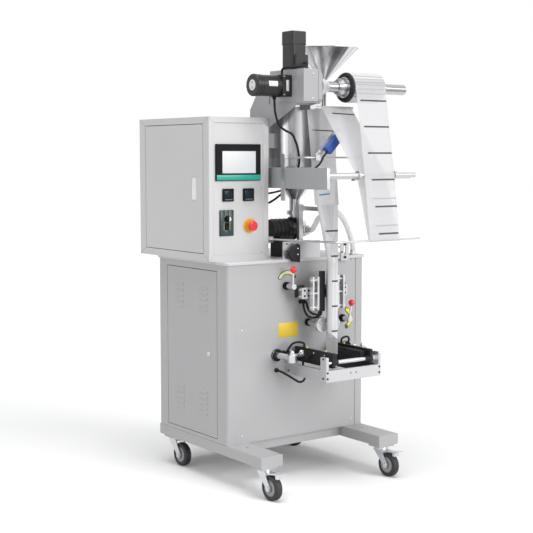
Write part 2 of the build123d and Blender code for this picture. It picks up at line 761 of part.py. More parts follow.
# Drive shafts that come out of the panel through rubber rings, with link and nuts
drive_z = cab_top - 387.0
drive_y = front - 104.0
drive_xs = [left + 242.0, left + 605.0]
link_long = 44.0
with BuildPart() as sealing_drives:
    with BuildSketch(panel_face):
        with Locations(*[(x, drive_z) for x in drive_xs]):
            Circle(25.5)
    extrude(amount=7)
    with BuildSketch(panel_face):
        with Locations(*[(x, drive_z) for x in drive_xs]):
            Circle(13)
    extrude(amount=panel_y - drive_y - 4)
    # Round heads at the shaft ends
    with BuildSketch(Plane.XY.offset(drive_z - 15)):
        with Locations(*[(x, drive_y) for x in drive_xs]):
            Circle(19)
    extrude(amount=30)
    # Short link plates, with a nut at each end
    with BuildSketch(Plane.XY.offset(drive_z + 8)):
        with Locations((drive_xs[0] + link_long / 2, drive_y), (drive_xs[1] - link_long / 2, drive_y)):
            SlotCenterToCenter(link_long, 24)
    extrude(amount=9)
    with BuildSketch(Plane.XY.offset(drive_z + 17)):
        with Locations(
            (drive_xs[0], drive_y),
            (drive_xs[1], drive_y),
            (drive_xs[0] + link_long, drive_y),
            (drive_xs[1] - link_long, drive_y),
        ):
            Circle(8)
    extrude(amount=8)
    with Locations(
        (drive_xs[0], drive_y, drive_z + 25),
        (drive_xs[1], drive_y, drive_z + 25),
        (drive_xs[0] + link_long, drive_y, drive_z + 25),
        (drive_xs[1] - link_long, drive_y, drive_z + 25),
    ):
        Sphere(7)
sealing_drives.part.label = "sealing_drives"
export_step(sealing_drives.part, "parts/sealing_drives.step")

# Cross sealing jaws: carriages on the guide rods, each with a heater bar facing the film
carriage_t = 12.0
carriage_z = cab_top - 415.0
carriage_h = 59.0
carriage_x = 96.0
heater_t = 30.0
heater_h = 30.0
heater_ys = [front - 225.0, front - 30.0]
film_flat = 1.2
for hand, side in zip((-1, 1), ("left", "right")):
    plate_mid = tube_x + hand * carriage_x
    with BuildPart() as horizontal_jaw:
        with BuildSketch(Plane.YZ.offset(plate_mid - carriage_t / 2)):
            with Locations(((guide_ys[0] + guide_ys[1]) / 2, carriage_z + carriage_h / 2)):
                RectangleRounded(guide_ys[1] - guide_ys[0] + 24, carriage_h, 4.0)
        extrude(amount=carriage_t)
        with BuildSketch(Plane.XZ.offset(-heater_ys[0])):
            with Locations((plate_mid - hand * (carriage_t / 2 + heater_t / 2), carriage_z + 35)):
                Rectangle(heater_t, heater_h)
        extrude(amount=heater_ys[0] - heater_ys[1])
        # Long bushes that run on the rods
        with BuildSketch(Plane.YZ.offset(plate_mid - hand * carriage_t / 2)):
            with Locations(*[(y, guide_z) for y in guide_ys]):
                Circle(12)
        extrude(amount=-hand * 18)
        with BuildSketch(Plane.YZ.offset(plate_mid + hand * carriage_t / 2)):
            with Locations(*[(y, guide_z) for y in guide_ys]):
                Circle(guide_r + pin_fit)
        extrude(amount=-hand * 40, mode=Mode.SUBTRACT)
        # Stub that meets the drive's link
        with BuildSketch(Plane.YZ.offset(plate_mid + hand * carriage_t / 2)):
            with Locations((drive_y, drive_z)):
                Circle(6)
        extrude(amount=hand * 24)
    horizontal_jaw.part.label = f"horizontal_jaw_{side}"
    export_step(horizontal_jaw.part, f"parts/horizontal_jaw_{side}.step")

# Forming cone: a flat mouth that turns the film into a tube
cone_top = cab_top + 217.0
cone_low = cab_top - 10.0
mouth_w = 102.0
mouth_d = 16.0
mouth_x = left + 436.0
mouth_y = front - 80.0
tube_r = 20.0
cone_wall = 2.5
stub_z = cab_top + 165.0
stub_x = left + 434.0
flat_side = 0.2
with BuildPart() as forming_cone:
    with BuildSketch(Plane.XY.offset(cone_low)):
        with Locations((tube_x, tube_y)):
            SlotCenterToCenter(flat_side, 2 * tube_r)
    with BuildSketch(Plane.XY.offset(cone_top)):
        with Locations((mouth_x, mouth_y)):
            SlotOverall(mouth_w, mouth_d)
    loft(ruled=True)
    with BuildSketch(Plane(origin=(stub_x, mouth_y, stub_z), x_dir=(1, 0, 0), z_dir=(0, 1, 0))):
        Circle(11)
    extrude(amount=24)
    with BuildSketch(Plane.XY.offset(cone_low)):
        with Locations((tube_x, tube_y)):
            SlotCenterToCenter(flat_side, 2 * (tube_r - cone_wall))
    with BuildSketch(Plane.XY.offset(cone_top)):
        with Locations((mouth_x, mouth_y)):
            SlotOverall(mouth_w - 2 * cone_wall, mouth_d - 2 * cone_wall)
    loft(ruled=True, mode=Mode.SUBTRACT)
forming_cone.part.label = "forming_cone"
export_step(forming_cone.part, "parts/forming_cone.step")

tube_low = cab_top - 296.0
tube_wall = 1.5
with BuildPart() as fill_tube:
    with BuildSketch(Plane.XY.offset(tube_low)):
        with Locations((tube_x, tube_y)):
            Circle(tube_r)
            Circle(tube_r - tube_wall, mode=Mode.SUBTRACT)
    extrude(amount=cone_low - tube_low)
fill_tube.part.label = "fill_tube"
export_step(fill_tube.part, "parts/fill_tube.step")

# Post and cross rod that hold the cone
post_x = left + 400.0
post_y = front + 55.0
post_side = 20.0
rod_z = 1095.0
with BuildPart() as cone_stand:
    with BuildSketch(Plane.XY.offset(cab_top)):
        with Locations((post_x, post_y)):
            RectangleRounded(post_side, post_side, 2.0)
    extrude(amount=rod_z + 16 - cab_top)
    with BuildSketch(Plane.XY.offset(cab_top)):
        with Locations((post_x, post_y)):
            RectangleRounded(50, 50, 4.0)
    extrude(amount=8)
    with BuildSketch(Plane(origin=(post_x + 14, post_y, rod_z), x_dir=(1, 0, 0), z_dir=(0, -1, 0))):
        Circle(9)
    extrude(amount=post_y - mouth_y - mouth_d / 2)
    with BuildSketch(Plane(origin=(post_x, post_y, rod_z), x_dir=(0, 1, 0), z_dir=(1, 0, 0))):
        Circle(9)
    extrude(amount=14)
    with BuildSketch(Plane(origin=(post_x + 14, post_y + 12, rod_z), x_dir=(1, 0, 0), z_dir=(0, -1, 0))):
        RegularPolygon(14, 6)
    extrude(amount=12)
cone_stand.part.label = "cone_stand"
export_step(cone_stand.part, "parts/cone_stand.step")

# Brackets along the front edge of the lid
bracket_t = 4.0
with BuildPart() as former_bracket:
    with BuildSketch(Plane(origin=(0, front + 4, 0), x_dir=(1, 0, 0), z_dir=(0, -1, 0))):
        with Locations((left + 367, cab_top + 35)):
            RectangleRounded(190, 70, 3.0)
    extrude(amount=bracket_t)
    with BuildSketch(Plane.XY.offset(cab_top)):
        with Locations((left + 367, front + 16)):
            Rectangle(190, 24)
    extrude(amount=bracket_t)
    # Triangle rib on the left
    with BuildSketch(Plane.YZ.offset(left + 300)):
        with BuildLine():
            Polyline(
                (front + 4, cab_top + 4),
                (front + 28, cab_top + 4),
                (front + 4, cab_top + 68),
                (front + 4, cab_top + 4),
            )
        make_face()
    extrude(amount=6)
    # Small adjustable bracket on the right
    with BuildSketch(Plane(origin=(0, front - lid_lip, 0), x_dir=(1, 0, 0), z_dir=(0, -1, 0))):
        with Locations((left + 585, cab_top + 21)):
            RectangleRounded(42, 82, 3.0)
            SlotOverall(40, 9, rotation=90, mode=Mode.SUBTRACT)
    extrude(amount=bracket_t)
former_bracket.part.label = "former_bracket"
export_step(former_bracket.part, "parts/former_bracket.step")

# Film roll on its driven shaft
roll_y = front - 110.0
roll_z = cab_top + 686.0
roll_r = 60.0
roll_core_r = 36.3
roll_x0 = left + 503.0
roll_x1 = left + 661.0
roll_shaft_r = 21.0
shaft_x0 = left + 345.3
shaft_x1 = left + shaft_reach
with BuildPart() as film_roll:
    with BuildSketch(Plane.YZ.offset(roll_x0)):
        with Locations((roll_y, roll_z)):
            Circle(roll_r)
            Circle(roll_core_r, mode=Mode.SUBTRACT)
    extrude(amount=roll_x1 - roll_x0)
film_roll.part.label = "film_roll"
export_step(film_roll.part, "parts/film_roll.step")

with BuildPart() as roll_shaft:
    with BuildSketch(Plane(origin=(0, roll_y, roll_z), x_dir=(1, 0, 0), z_dir=(0, -1, 0))):
        with BuildLine():
            Polyline(
                (shaft_x0, 0),
                (shaft_x0, roll_shaft_r),
                (left + 452, roll_shaft_r),
                (left + 452, 27),
                (left + 462, 27),
                (left + 468, 36),
                (left + 490, 36),
                (left + 490, 42),
                (roll_x0 - 0.3, 42),
                (roll_x0 - 0.3, 36),
                (left + 524, 36),
                (left + 524, roll_shaft_r),
                (left + 645, roll_shaft_r),
                (left + 645, 36),
                (roll_x1 + 0.3, 36),
                (roll_x1 + 0.3, 42),
                (left + 672, 42),
                (left + 676, 32),
                (left + 690, 32),
                (left + 690, roll_shaft_r),
                (shaft_x1 - 2, roll_shaft_r),
                (shaft_x1, roll_shaft_r - 2),
                (shaft_x1, 0),
                (shaft_x0, 0),
            )
        make_face()
    revolve(axis=Axis((0, roll_y, roll_z), (1, 0, 0)))
roll_shaft.part.label = "roll_shaft"
export_step(roll_shaft.part, "parts/roll_shaft.step")

# Gear housing with its bearing plate, and the two motors on it
gear_x0 = left + 255.0
gear_x1 = left + 327.0
gear_y0 = front - 155.0
gear_y1 = front + 66.0
gear_z0 = roll_z - 66.0
gear_z1 = roll_z + 64.0
plate_x1 = left + 355.0
boss_x1 = left + 400.0
with BuildPart() as gear_housing:
    with BuildSketch(Plane.YZ.offset(gear_x0)):
        with Locations(((gear_y0 + gear_y1) / 2, (gear_z0 + gear_z1) / 2)):
            RectangleRounded(gear_y1 - gear_y0, gear_z1 - gear_z0, 4.0)
    extrude(amount=gear_x1 - gear_x0)
    with BuildSketch(Plane.YZ.offset(gear_x1)):
        with Locations(((gear_y0 + gear_y1) / 2, (gear_z0 + gear_z1) / 2 - 3.5)):
            Rectangle(gear_y1 - gear_y0, gear_z1 - gear_z0 + 3)
        chamfer(vertices(), length=18.0)
    extrude(amount=plate_x1 - gear_x1)
    chamfer(gear_housing.faces().sort_by(Axis.X)[-1].edges(), length=8.0)
    with BuildSketch(Plane(origin=(0, roll_y, roll_z), x_dir=(1, 0, 0), z_dir=(0, -1, 0))):
        with BuildLine():
            Polyline((plate_x1 - 1, 0), (plate_x1 - 1, 43), (plate_x1, 43), (boss_x1, 25), (boss_x1, 0), (plate_x1 - 1, 0))
        make_face()
    revolve(axis=Axis((0, roll_y, roll_z), (1, 0, 0)))
    with BuildSketch(Plane.YZ.offset(boss_x1)):
        with Locations((roll_y, roll_z)):
            Circle(roll_shaft_r + pin_fit)
    extrude(amount=-(boss_x1 - shaft_x0 + 0.3), mode=Mode.SUBTRACT)
gear_housing.part.label = "gear_housing"
export_step(gear_housing.part, "parts/gear_housing.step")

motor_y = front - 38.0
can_r = 41.0
with BuildPart() as roll_motor:
    with BuildSketch(Plane.YZ.offset(left + 211)):
        with Locations((motor_y, roll_z)):
            RectangleRounded(84, 84, 6.0)
    extrude(amount=gear_x0 - left - 211)
    with BuildSketch(Plane.YZ.offset(left + 110)):
        with Locations((motor_y, roll_z)):
            Circle(can_r)
    extrude(amount=101)
    with BuildSketch(Plane.YZ.offset(left + 95)):
        with Locations((motor_y, roll_z)):
            Circle(can_r + 2)
    extrude(amount=15)
    fillet(roll_motor.faces().sort_by(Axis.X)[0].edges(), radius=4.0)
roll_motor.part.label = "roll_motor"
export_step(roll_motor.part, "parts/roll_motor.step")

stirrer_x = left + 291.0
stirrer_y = front - 45.0
stirrer_side = 72.0
stirrer_cap_z = gear_z1 + 100.0
with BuildPart() as stirrer_motor:
    with BuildSketch(Plane.XY.offset(gear_z1)):
        with Locations((stirrer_x, stirrer_y)):
            RectangleRounded(stirrer_side, stirrer_side, 14.0)
    extrude(amount=97)
    with BuildSketch(Plane.XY.offset(gear_z1 + 97)):
        with Locations((stirrer_x, stirrer_y)):
            RectangleRounded(stirrer_side - 3, stirrer_side - 3, 13.0)
    extrude(amount=3)
    with BuildSketch(Plane.XY.offset(stirrer_cap_z)):
        with Locations((stirrer_x, stirrer_y)):
            RectangleRounded(stirrer_side + 1, stirrer_side + 1, 10.0)
    extrude(amount=50)
    fillet(stirrer_motor.faces().sort_by(Axis.Z)[-1].edges(), radius=4.0)
    # Terminal box on the front face
    with BuildSketch(Plane.XZ.offset(-(stirrer_y - stirrer_side / 2))):
        with Locations((stirrer_x + 3, gear_z1 + 31)):
            RectangleRounded(58, 54, 4.0)
    extrude(amount=14)
stirrer_motor.part.label = "stirrer_motor"
export_step(stirrer_motor.part, "parts/stirrer_motor.step")

# Product hopper with a loose lid and a filling funnel through the lid
hopper_x = tube_x
hopper_y = front + 132.0
hopper_r = 134.0
hopper_wall = 2.0
hopper_top = cab_top + 605.0
hopper_knee = cab_top + 369.0
neck_top = cab_top + 236.0
neck_low = cab_top + 160.0
neck_r = 23.0
hopper_face = Plane(origin=(hopper_x, hopper_y, 0), x_dir=(1, 0, 0), z_dir=(0, -1, 0))
with BuildPart() as hopper:
    with BuildSketch(Plane.XY.offset(hopper_knee)):
        with Locations((hopper_x, hopper_y)):
            Circle(hopper_r)
            Circle(hopper_r - hopper_wall, mode=Mode.SUBTRACT)
    extrude(amount=hopper_top - hopper_knee)
hopper.part.label = "hopper"
export_step(hopper.part, "parts/hopper.step")

# Its cone with the outlet pipe, butt welded to the bin's lower edge
with BuildPart() as hopper_outlet:
    with BuildSketch(hopper_face):
        with BuildLine():
            Polyline(
                (neck_r, neck_low),
                (neck_r, neck_top),
                (hopper_r, hopper_knee),
                (hopper_r - hopper_wall, hopper_knee),
                (neck_r - hopper_wall, neck_top + 1),
                (neck_r - hopper_wall, neck_low),
                (neck_r, neck_low),
            )
        make_face()
    revolve(axis=Axis((hopper_x, hopper_y, 0), (0, 0, 1)))
hopper_outlet.part.label = "hopper_outlet"
export_step(hopper_outlet.part, "parts/hopper_outlet.step")

funnel_x = left + 527.0
funnel_y = front + 63.0
funnel_neck_r = 12.0
lid_plate = 6.0
with BuildPart() as hopper_lid:
    with BuildSketch(Plane.XY.offset(hopper_top)):
        with Locations((hopper_x, hopper_y)):
            Circle(hopper_r + 4)
        with Locations((funnel_x, funnel_y)):
            Circle(funnel_neck_r, mode=Mode.SUBTRACT)
    extrude(amount=lid_plate)
hopper_lid.part.label = "hopper_lid"
export_step(hopper_lid.part, "parts/hopper_lid.step")

funnel_rim_r = 142.0
funnel_top = hopper_top + 249.0
funnel_low = hopper_top + 117.0
funnel_wall = 1.5
with BuildPart() as funnel:
    with BuildSketch(Plane(origin=(funnel_x, funnel_y, 0), x_dir=(1, 0, 0), z_dir=(0, -1, 0))):
        with BuildLine():
            Polyline(
                (funnel_neck_r, hopper_top - 30),
                (funnel_neck_r, funnel_low),
                (funnel_rim_r, funnel_top),
                (funnel_rim_r - funnel_wall, funnel_top),
                (funnel_neck_r - funnel_wall, funnel_low + 1),
                (funnel_neck_r - funnel_wall, hopper_top - 30),
                (funnel_neck_r, hopper_top - 30),
            )
        make_face()
        with Locations((funnel_neck_r + 2, hopper_top + lid_plate + 2)):
            Rectangle(5, 4)
    revolve(axis=Axis((funnel_x, funnel_y, 0), (0, 0, 1)))
funnel.part.label = "funnel"
export_step(funnel.part, "parts/funnel.step")

# Clamp ring between hopper and pump, with its wing nut
clamp_z0 = neck_low + 11.0
with BuildPart() as pipe_clamp:
    with BuildSketch(Plane.XY.offset(clamp_z0)):
        with Locations((hopper_x, hopper_y)):
            Circle(34)
            Circle(neck_r, mode=Mode.SUBTRACT)
    extrude(amount=16)
    with BuildSketch(Plane.XY.offset(clamp_z0 + 2)):
        with Locations((hopper_x, hopper_y - 40)):
            RectangleRounded(14, 18, 3.0)
    extrude(amount=12)
pipe_clamp.part.label = "pipe_clamp"
export_step(pipe_clamp.part, "parts/pipe_clamp.step")

# Filling pump on the lid
pump_z = cab_top + 112.0
pump_r = 41.0
with BuildPart() as filling_pump:
    with BuildSketch(Plane.YZ.offset(left + 299)):
        with Locations((hopper_y, pump_z)):
            Circle(pump_r)
    extrude(amount=124)
    with BuildSketch(Plane.XY.offset(cab_top)):
        with Locations((left + 365, hopper_y)):
            Rectangle(70, 64)
    extrude(amount=pump_z - cab_top)
    with BuildSketch(Plane.YZ.offset(left + 423)):
        with Locations((hopper_y, pump_z)):
            RectangleRounded(56, 64, 6.0)
    extrude(amount=47)
    with BuildSketch(Plane.XY.offset(pump_z + 20)):
        with Locations((hopper_x, hopper_y)):
            Circle(neck_r)
    extrude(amount=neck_low - pump_z - 20)
    with BuildSketch(Plane.XY.offset(neck_low - 6)):
        with Locations((hopper_x, hopper_y)):
            Circle(neck_r + 6)
    extrude(amount=6)
    with BuildSketch(Plane(origin=(left + 440, hopper_y, pump_z - 2), x_dir=(1, 0, 0), z_dir=(0, -1, 0))):
        Circle(15)
    extrude(amount=72)
filling_pump.part.label = "filling_pump"
export_step(filling_pump.part, "parts/filling_pump.step")

# Mast plate on the control box: carries the gear housing and steadies the hopper
mast_t = 7.5
mast_low = hopper_knee + 36.0
with BuildPart() as mast_plate:
    with BuildSketch(Plane.YZ.offset(box_right)):
        with BuildLine():
            Polyline(
                (front + 197, mast_low),
                (front + 197, gear_z0 - 19),
                (front + 155, gear_z0 + 36),
                (gear_y1, gear_z0 + 36),
                (gear_y1, gear_z0),
                (front - 112, gear_z0),
                (front - 112, gear_z0 - 9),
                (front + 72, gear_z0 - 94),
                (front + 72, mast_low),
                (front + 197, mast_low),
            )
        make_face()
    extrude(amount=mast_t - 2.5)
    # Folded shelf under the gear housing
    with BuildSketch(Plane.XY.offset(gear_z0 - 6)):
        with Locations(((box_right + gear_x1) / 2 - 4, front - 23)):
            Rectangle(gear_x1 - box_right - 8, 178)
    extrude(amount=6)
    # Arm with a curved seat against the hopper
    with BuildSketch(Plane.XY.offset(hopper_top - 160)):
        with Locations(((box_right + left + 320) / 2, hopper_y)):
            Rectangle(left + 320 - box_right, 64)
        with Locations((hopper_x, hopper_y)):
            Circle(hopper_r + face_gap, mode=Mode.SUBTRACT)
    extrude(amount=60)
mast_plate.part.label = "mast_plate"
export_step(mast_plate.part, "parts/mast_plate.step")

# Film arm: a long flat bar that stands forward from the control box's side
arm_x0 = left + 268.0
arm_t = 15.0
arm_z = cab_top + 326.0
arm_h = 83.0
arm_front = front - 285.0
arm_back = front + 300.0
with BuildPart() as film_arm:
    with BuildSketch(Plane.YZ.offset(arm_x0)):
        with Locations(((arm_front + arm_back) / 2, arm_z)):
            RectangleRounded(arm_back - arm_front, arm_h, 3.0)
    extrude(amount=arm_t)
    with BuildSketch(Plane.YZ.offset(box_right)):
        with Locations((front + 175, arm_z)):
            RectangleRounded(130, 60, 3.0)
    extrude(amount=arm_x0 - box_right)
film_arm.part.label = "film_arm"
export_step(film_arm.part, "parts/film_arm.step")

# Guide rods: two on the film arm, two on a hanger under the bearing plate
front_guide_y = front - 272.0
front_guide_z = arm_z + 12.0
front_guide_r = 10.0
back_guide_y = front - 246.0
back_guide_z = arm_z + 5.0
back_guide_r = 8.0
top_guide_ys = [front - 85.0, front - 45.0]
top_guide_z = roll_z - 81.0
top_guide_r = 6.0
hanger_x = left + 331.0
hanger_t = 20.0
with BuildPart() as guide_rods:
    with BuildSketch(Plane.YZ.offset(arm_x0 + arm_t)):
        with Locations((front_guide_y, front_guide_z)):
            Circle(front_guide_r)
        with Locations((back_guide_y, back_guide_z)):
            Circle(back_guide_r)
    extrude(amount=left + 730 - arm_x0 - arm_t)
    # Collars that keep the film in its lane
    for collar_x in (left + 429, left + 615):
        with BuildSketch(Plane.YZ.offset(collar_x)):
            with Locations((front_guide_y, front_guide_z)):
                Circle(17)
            with Locations((back_guide_y, back_guide_z)):
                Circle(15)
        extrude(amount=10)
    # Hanger with the two rods under the roll
    with BuildSketch(Plane.YZ.offset(hanger_x)):
        with Locations(((top_guide_ys[0] + top_guide_ys[1]) / 2, top_guide_z)):
            RectangleRounded(70, 20, 3.0)
    extrude(amount=hanger_t)
    with BuildSketch(Plane.YZ.offset(hanger_x + hanger_t)):
        with Locations(*[(y, top_guide_z) for y in top_guide_ys]):
            Circle(top_guide_r)
    extrude(amount=left + 560 - hanger_x - hanger_t)
guide_rods.part.label = "guide_rods"
export_step(guide_rods.part, "parts/guide_rods.step")

# Dancer rod: an L of round bar from a boss on the box's side
film_t = 0.6
film_gap = 0.3
film_w = 155.0
dancer_r = 4.0
dancer_y = front - dancer_reach + dancer_r + film_gap + film_t
dancer_z = cab_top + 88.0
dancer_x = left + 268.0
dancer_boss_y = front + 79.0
with BuildPart() as dancer_rod:
    with BuildSketch(Plane.YZ.offset(box_right)):
        with Locations((dancer_boss_y, dancer_z - 12)):
            Circle(14)
    extrude(amount=24)
    with BuildLine() as dancer_path:
        FilletPolyline(
            (dancer_x, dancer_boss_y, dancer_z - 12),
            (dancer_x, dancer_y, dancer_z),
            (left + 688, dancer_y, dancer_z),
            radius=14,
        )
    with BuildSketch(Plane(origin=dancer_path.line @ 0, z_dir=dancer_path.line % 0)):
        Circle(dancer_r)
    sweep(path=dancer_path.line)
dancer_rod.part.label = "dancer_rod"
export_step(dancer_rod.part, "parts/dancer_rod.step")

# Film web: off the front of the roll, down over the front guide, under the dancer rod,
# up between the guides, over the two top rods and down to the mouth of the cone.
# Each wrap is a circle in side view; lies_right tells on which side of the film it is.
film_off = film_gap + film_t / 2
wrap_ys = [roll_y, front_guide_y, dancer_y, back_guide_y, top_guide_ys[0], top_guide_ys[1]]
wrap_zs = [roll_z, front_guide_z, dancer_z, back_guide_z, top_guide_z, top_guide_z]
wrap_rs = [roll_r, front_guide_r, dancer_r, back_guide_r, top_guide_r, top_guide_r]
lies_right = [-1, -1, -1, 1, 1, 1]
lane_xs = [(roll_x0 + roll_x1) / 2, left + 535, left + 501, left + 520, left + 470, left + 440]
leave_y = mouth_y - mouth_d / 2 - film_off
wrap_ys.append(leave_y)
wrap_zs.append(cone_top)
ends = []
for n in range(6):
    # Tangent line between wrap n and the next one
    step_y = wrap_ys[n + 1] - wrap_ys[n]
    step_z = wrap_zs[n + 1] - wrap_zs[n]
    near = lies_right[n] * (wrap_rs[n] + film_off)
    far = lies_right[n + 1] * (wrap_rs[n + 1] + film_off) if n < 5 else 0.0
    span = sqrt(step_y**2 + step_z**2 - (near - far) ** 2)
    turn = atan2(step_z, step_y) - atan2(near - far, span)
    off_y = wrap_ys[n] - near * sin(turn)
    off_z = wrap_zs[n] + near * cos(turn)
    ends.append((off_y, off_z, turn, span))
flap_fold = 51.9
flap_long = (film_w - 2 * flap_fold) / 2
with BuildPart() as film_web:
    for n in range(5):
        off_y, off_z, turn, span = ends[n]
        lane = Plane(
            origin=(0, off_y, off_z), x_dir=(1, 0, 0), z_dir=(0, -sin(turn), cos(turn))
        )
        with BuildSketch(lane):
            with BuildLine():
                Polyline(
                    (lane_xs[n] - film_w / 2, 0),
                    (lane_xs[n] + film_w / 2, 0),
                    (lane_xs[n + 1] + film_w / 2, span),
                    (lane_xs[n + 1] - film_w / 2, span),
                    (lane_xs[n] - film_w / 2, 0),
                )
            make_face()
        extrude(amount=film_t / 2, both=True)
        # The film's wrap round the next rod
        next_turn = ends[n + 1][2]
        wrap = degrees(next_turn - turn)
        wrap = wrap - 360 if wrap > 180 else wrap
        wrap = wrap + 360 if wrap < -180 else wrap
        side = lies_right[n + 1]
        begin = degrees(turn) + side * 90
        with BuildSketch(Plane.YZ.offset(lane_xs[n + 1] - film_w / 2)):
            with BuildLine():
                rim_out = CenterArc(
                    (wrap_ys[n + 1], wrap_zs[n + 1]), wrap_rs[n + 1] + film_off + film_t / 2, begin, wrap
                )
                rim_in = CenterArc(
                    (wrap_ys[n + 1], wrap_zs[n + 1]), wrap_rs[n + 1] + film_off - film_t / 2, begin, wrap
                )
                Line(rim_out @ 0, rim_in @ 0)
                Line(rim_out @ 1, rim_in @ 1)
            make_face()
        extrude(amount=film_w)
    # Last span: its edges fold back into two flaps that go round the mouth
    off_y, off_z, turn, span = ends[5]
    flat_end = Plane(origin=(lane_xs[5], off_y, off_z), x_dir=(1, 0, 0), z_dir=(0, cos(turn), sin(turn)))
    fold_end = Plane(origin=(mouth_x, leave_y, cone_top + film_gap), x_dir=(1, 0, 0), z_dir=(0, 0, -1))
    half_t = film_t / 2
    with BuildSketch(flat_end):
        with BuildLine():
            Polyline(
                (-film_w / 2, -half_t - 0.6),
                (-flap_fold, -half_t),
                (flap_fold, -half_t),
                (film_w / 2, -half_t - 0.6),
                (film_w / 2, half_t - 0.6),
                (flap_fold, half_t),
                (-flap_fold, half_t),
                (-film_w / 2, half_t - 0.6),
                (-film_w / 2, -half_t - 0.6),
            )
        make_face()
    with BuildSketch(fold_end):
        with BuildLine():
            Polyline(
                (film_t - flap_fold, -flap_long),
                (film_t - flap_fold, -half_t),
                (flap_fold - film_t, -half_t),
                (flap_fold - film_t, -flap_long),
                (flap_fold, -flap_long),
                (flap_fold, half_t),
                (-flap_fold, half_t),
                (-flap_fold, -flap_long),
                (film_t - flap_fold, -flap_long),
            )
        make_face()
    loft(ruled=True)
film_web.part.label = "film_web"
export_step(film_web.part, "parts/film_web.step")

# Film sleeve: follows the cone and the tube, with its edges in a back seam,
# and is pressed flat below the tube
sleeve_low = 597.0
flat_top = 575.0
flat_low = 515.0
flat_w = 66.0
seam_back = front - 80.0
seam_in = 0.5
lean = Plane(
    origin=(tube_x, tube_y, cone_low),
    x_dir=(1, 0, 0),
    z_dir=(0, cone_low - cone_top, mouth_y - tube_y),
)
lean_h = hypot(cone_top - cone_low, mouth_y - tube_y)
with BuildPart() as film_sleeve:
    with BuildSketch(Plane.XY.offset(cone_low)):
        with Locations((tube_x, tube_y)):
            SlotCenterToCenter(flat_side, 2 * (tube_r + film_gap + film_t))
    with BuildSketch(Plane.XY.offset(cone_top)):
        with Locations((mouth_x, mouth_y)):
            SlotOverall(mouth_w + 2 * (film_gap + film_t), mouth_d + 2 * (film_gap + film_t))
    loft(ruled=True)
    with BuildSketch(Plane.XY.offset(cone_low)):
        with Locations((tube_x, tube_y)):
            SlotCenterToCenter(flat_side, 2 * (tube_r + film_gap))
    with BuildSketch(Plane.XY.offset(cone_top)):
        with Locations((mouth_x, mouth_y)):
            SlotOverall(mouth_w + 2 * film_gap, mouth_d + 2 * film_gap)
    loft(ruled=True, mode=Mode.SUBTRACT)
    # The two edges only meet at the foot of the cone
    with BuildSketch(lean):
        with BuildLine():
            Polyline((0, 12), (42, lean_h + 8), (-38, lean_h + 8), (0, 12))
        make_face()
    extrude(amount=-60, mode=Mode.SUBTRACT)
    with BuildSketch(Plane.XY.offset(sleeve_low)):
        with Locations((tube_x, tube_y)):
            SlotCenterToCenter(flat_side, 2 * (tube_r + film_gap + film_t))
            SlotCenterToCenter(flat_side, 2 * (tube_r + film_gap), mode=Mode.SUBTRACT)
    extrude(amount=cone_low - sleeve_low)
    with BuildSketch(Plane.XY.offset(sleeve_low)):
        with Locations((tube_x, tube_y)):
            SlotCenterToCenter(flat_side, 2 * (tube_r + film_gap + film_t), rotation=90)
    with BuildSketch(Plane.XY.offset(flat_top)):
        with Locations((tube_x, tube_y)):
            SlotOverall(flat_w, film_flat, rotation=90)
    loft(ruled=True)
    with BuildSketch(Plane.XY.offset(flat_low)):
        with Locations((tube_x, tube_y)):
            SlotOverall(flat_w, film_flat, rotation=90)
    extrude(amount=flat_top - flat_low)
    with BuildSketch(Plane.XY.offset(flat_low)):
        with Locations((tube_x, (seam_back + tube_y + tube_r + seam_in) / 2)):
            Rectangle(film_t, seam_back - tube_y - tube_r - seam_in)
    extrude(amount=cone_low - flat_low)
film_sleeve.part.label = "film_sleeve"
export_step(film_sleeve.part, "parts/film_sleeve.step")

# Print mark sensor: strap on the film arm, cross rod, slotted strip and sensor body
strap_x = arm_x0 - 6.0
strap_y = front - 10.0
eye_rod_z = arm_z + 81.0
eye_rod_y = front - 130.0
eye_rod_r = 4.0
strip_tilt = 45.0
with BuildPart() as photo_eye_bracket:
    with BuildSketch(Plane.YZ.offset(strap_x)):
        with Locations((strap_y, arm_z + 3)):
            RectangleRounded(24, 186, 4.0)
    extrude(amount=6)
    with BuildLine() as eye_rod_path:
        FilletPolyline(
            (strap_x + 3, strap_y, eye_rod_z),
            (left + 290, strap_y, eye_rod_z),
            (left + 290, eye_rod_y, eye_rod_z),
            (left + 595, eye_rod_y, eye_rod_z),
            radius=10,
        )
    with BuildSketch(Plane(origin=eye_rod_path.line @ 0, z_dir=eye_rod_path.line % 0)):
        Circle(eye_rod_r)
    sweep(path=eye_rod_path.line)
    # Clamp block on the rod and the slotted strip that rises from it
    with BuildSketch(Plane.XZ.offset(-(eye_rod_y - 9))):
        with Locations((left + 341, eye_rod_z)):
            RectangleRounded(22, 22, 3.0)
    extrude(amount=-18)
    with BuildSketch(
        Plane(
            origin=(left + 341, eye_rod_y + 9, eye_rod_z),
            x_dir=(sin(radians(strip_tilt)), 0, sin(radians(strip_tilt))),
            z_dir=(0, -1, 0),
        )
    ):
        with Locations((75, 0)):
            SlotOverall(170, 18)
            SlotOverall(140, 6, mode=Mode.SUBTRACT)
    extrude(amount=-2.5)
photo_eye_bracket.part.label = "photo_eye_bracket"
export_step(photo_eye_bracket.part, "parts/photo_eye_bracket.step")

eye_x = left + 413.0
eye_z = eye_rod_z + 55.0
eye_long = 80.0
eye_plane = Plane(
    origin=(eye_x, eye_rod_y + 9, eye_z),
    x_dir=(sin(radians(strip_tilt)), 0, sin(radians(strip_tilt))),
    z_dir=(0, -1, 0),
)
with BuildPart() as photo_eye:
    with BuildSketch(eye_plane):
        with Locations((0, -4)):
            RectangleRounded(eye_long, 36, 5.0)
    extrude(amount=24)
    chamfer(photo_eye.faces().sort_by(Axis.Y)[0].edges(), length=2.0)
photo_eye.part.label = "photo_eye"
export_step(photo_eye.part, "parts/photo_eye.step")

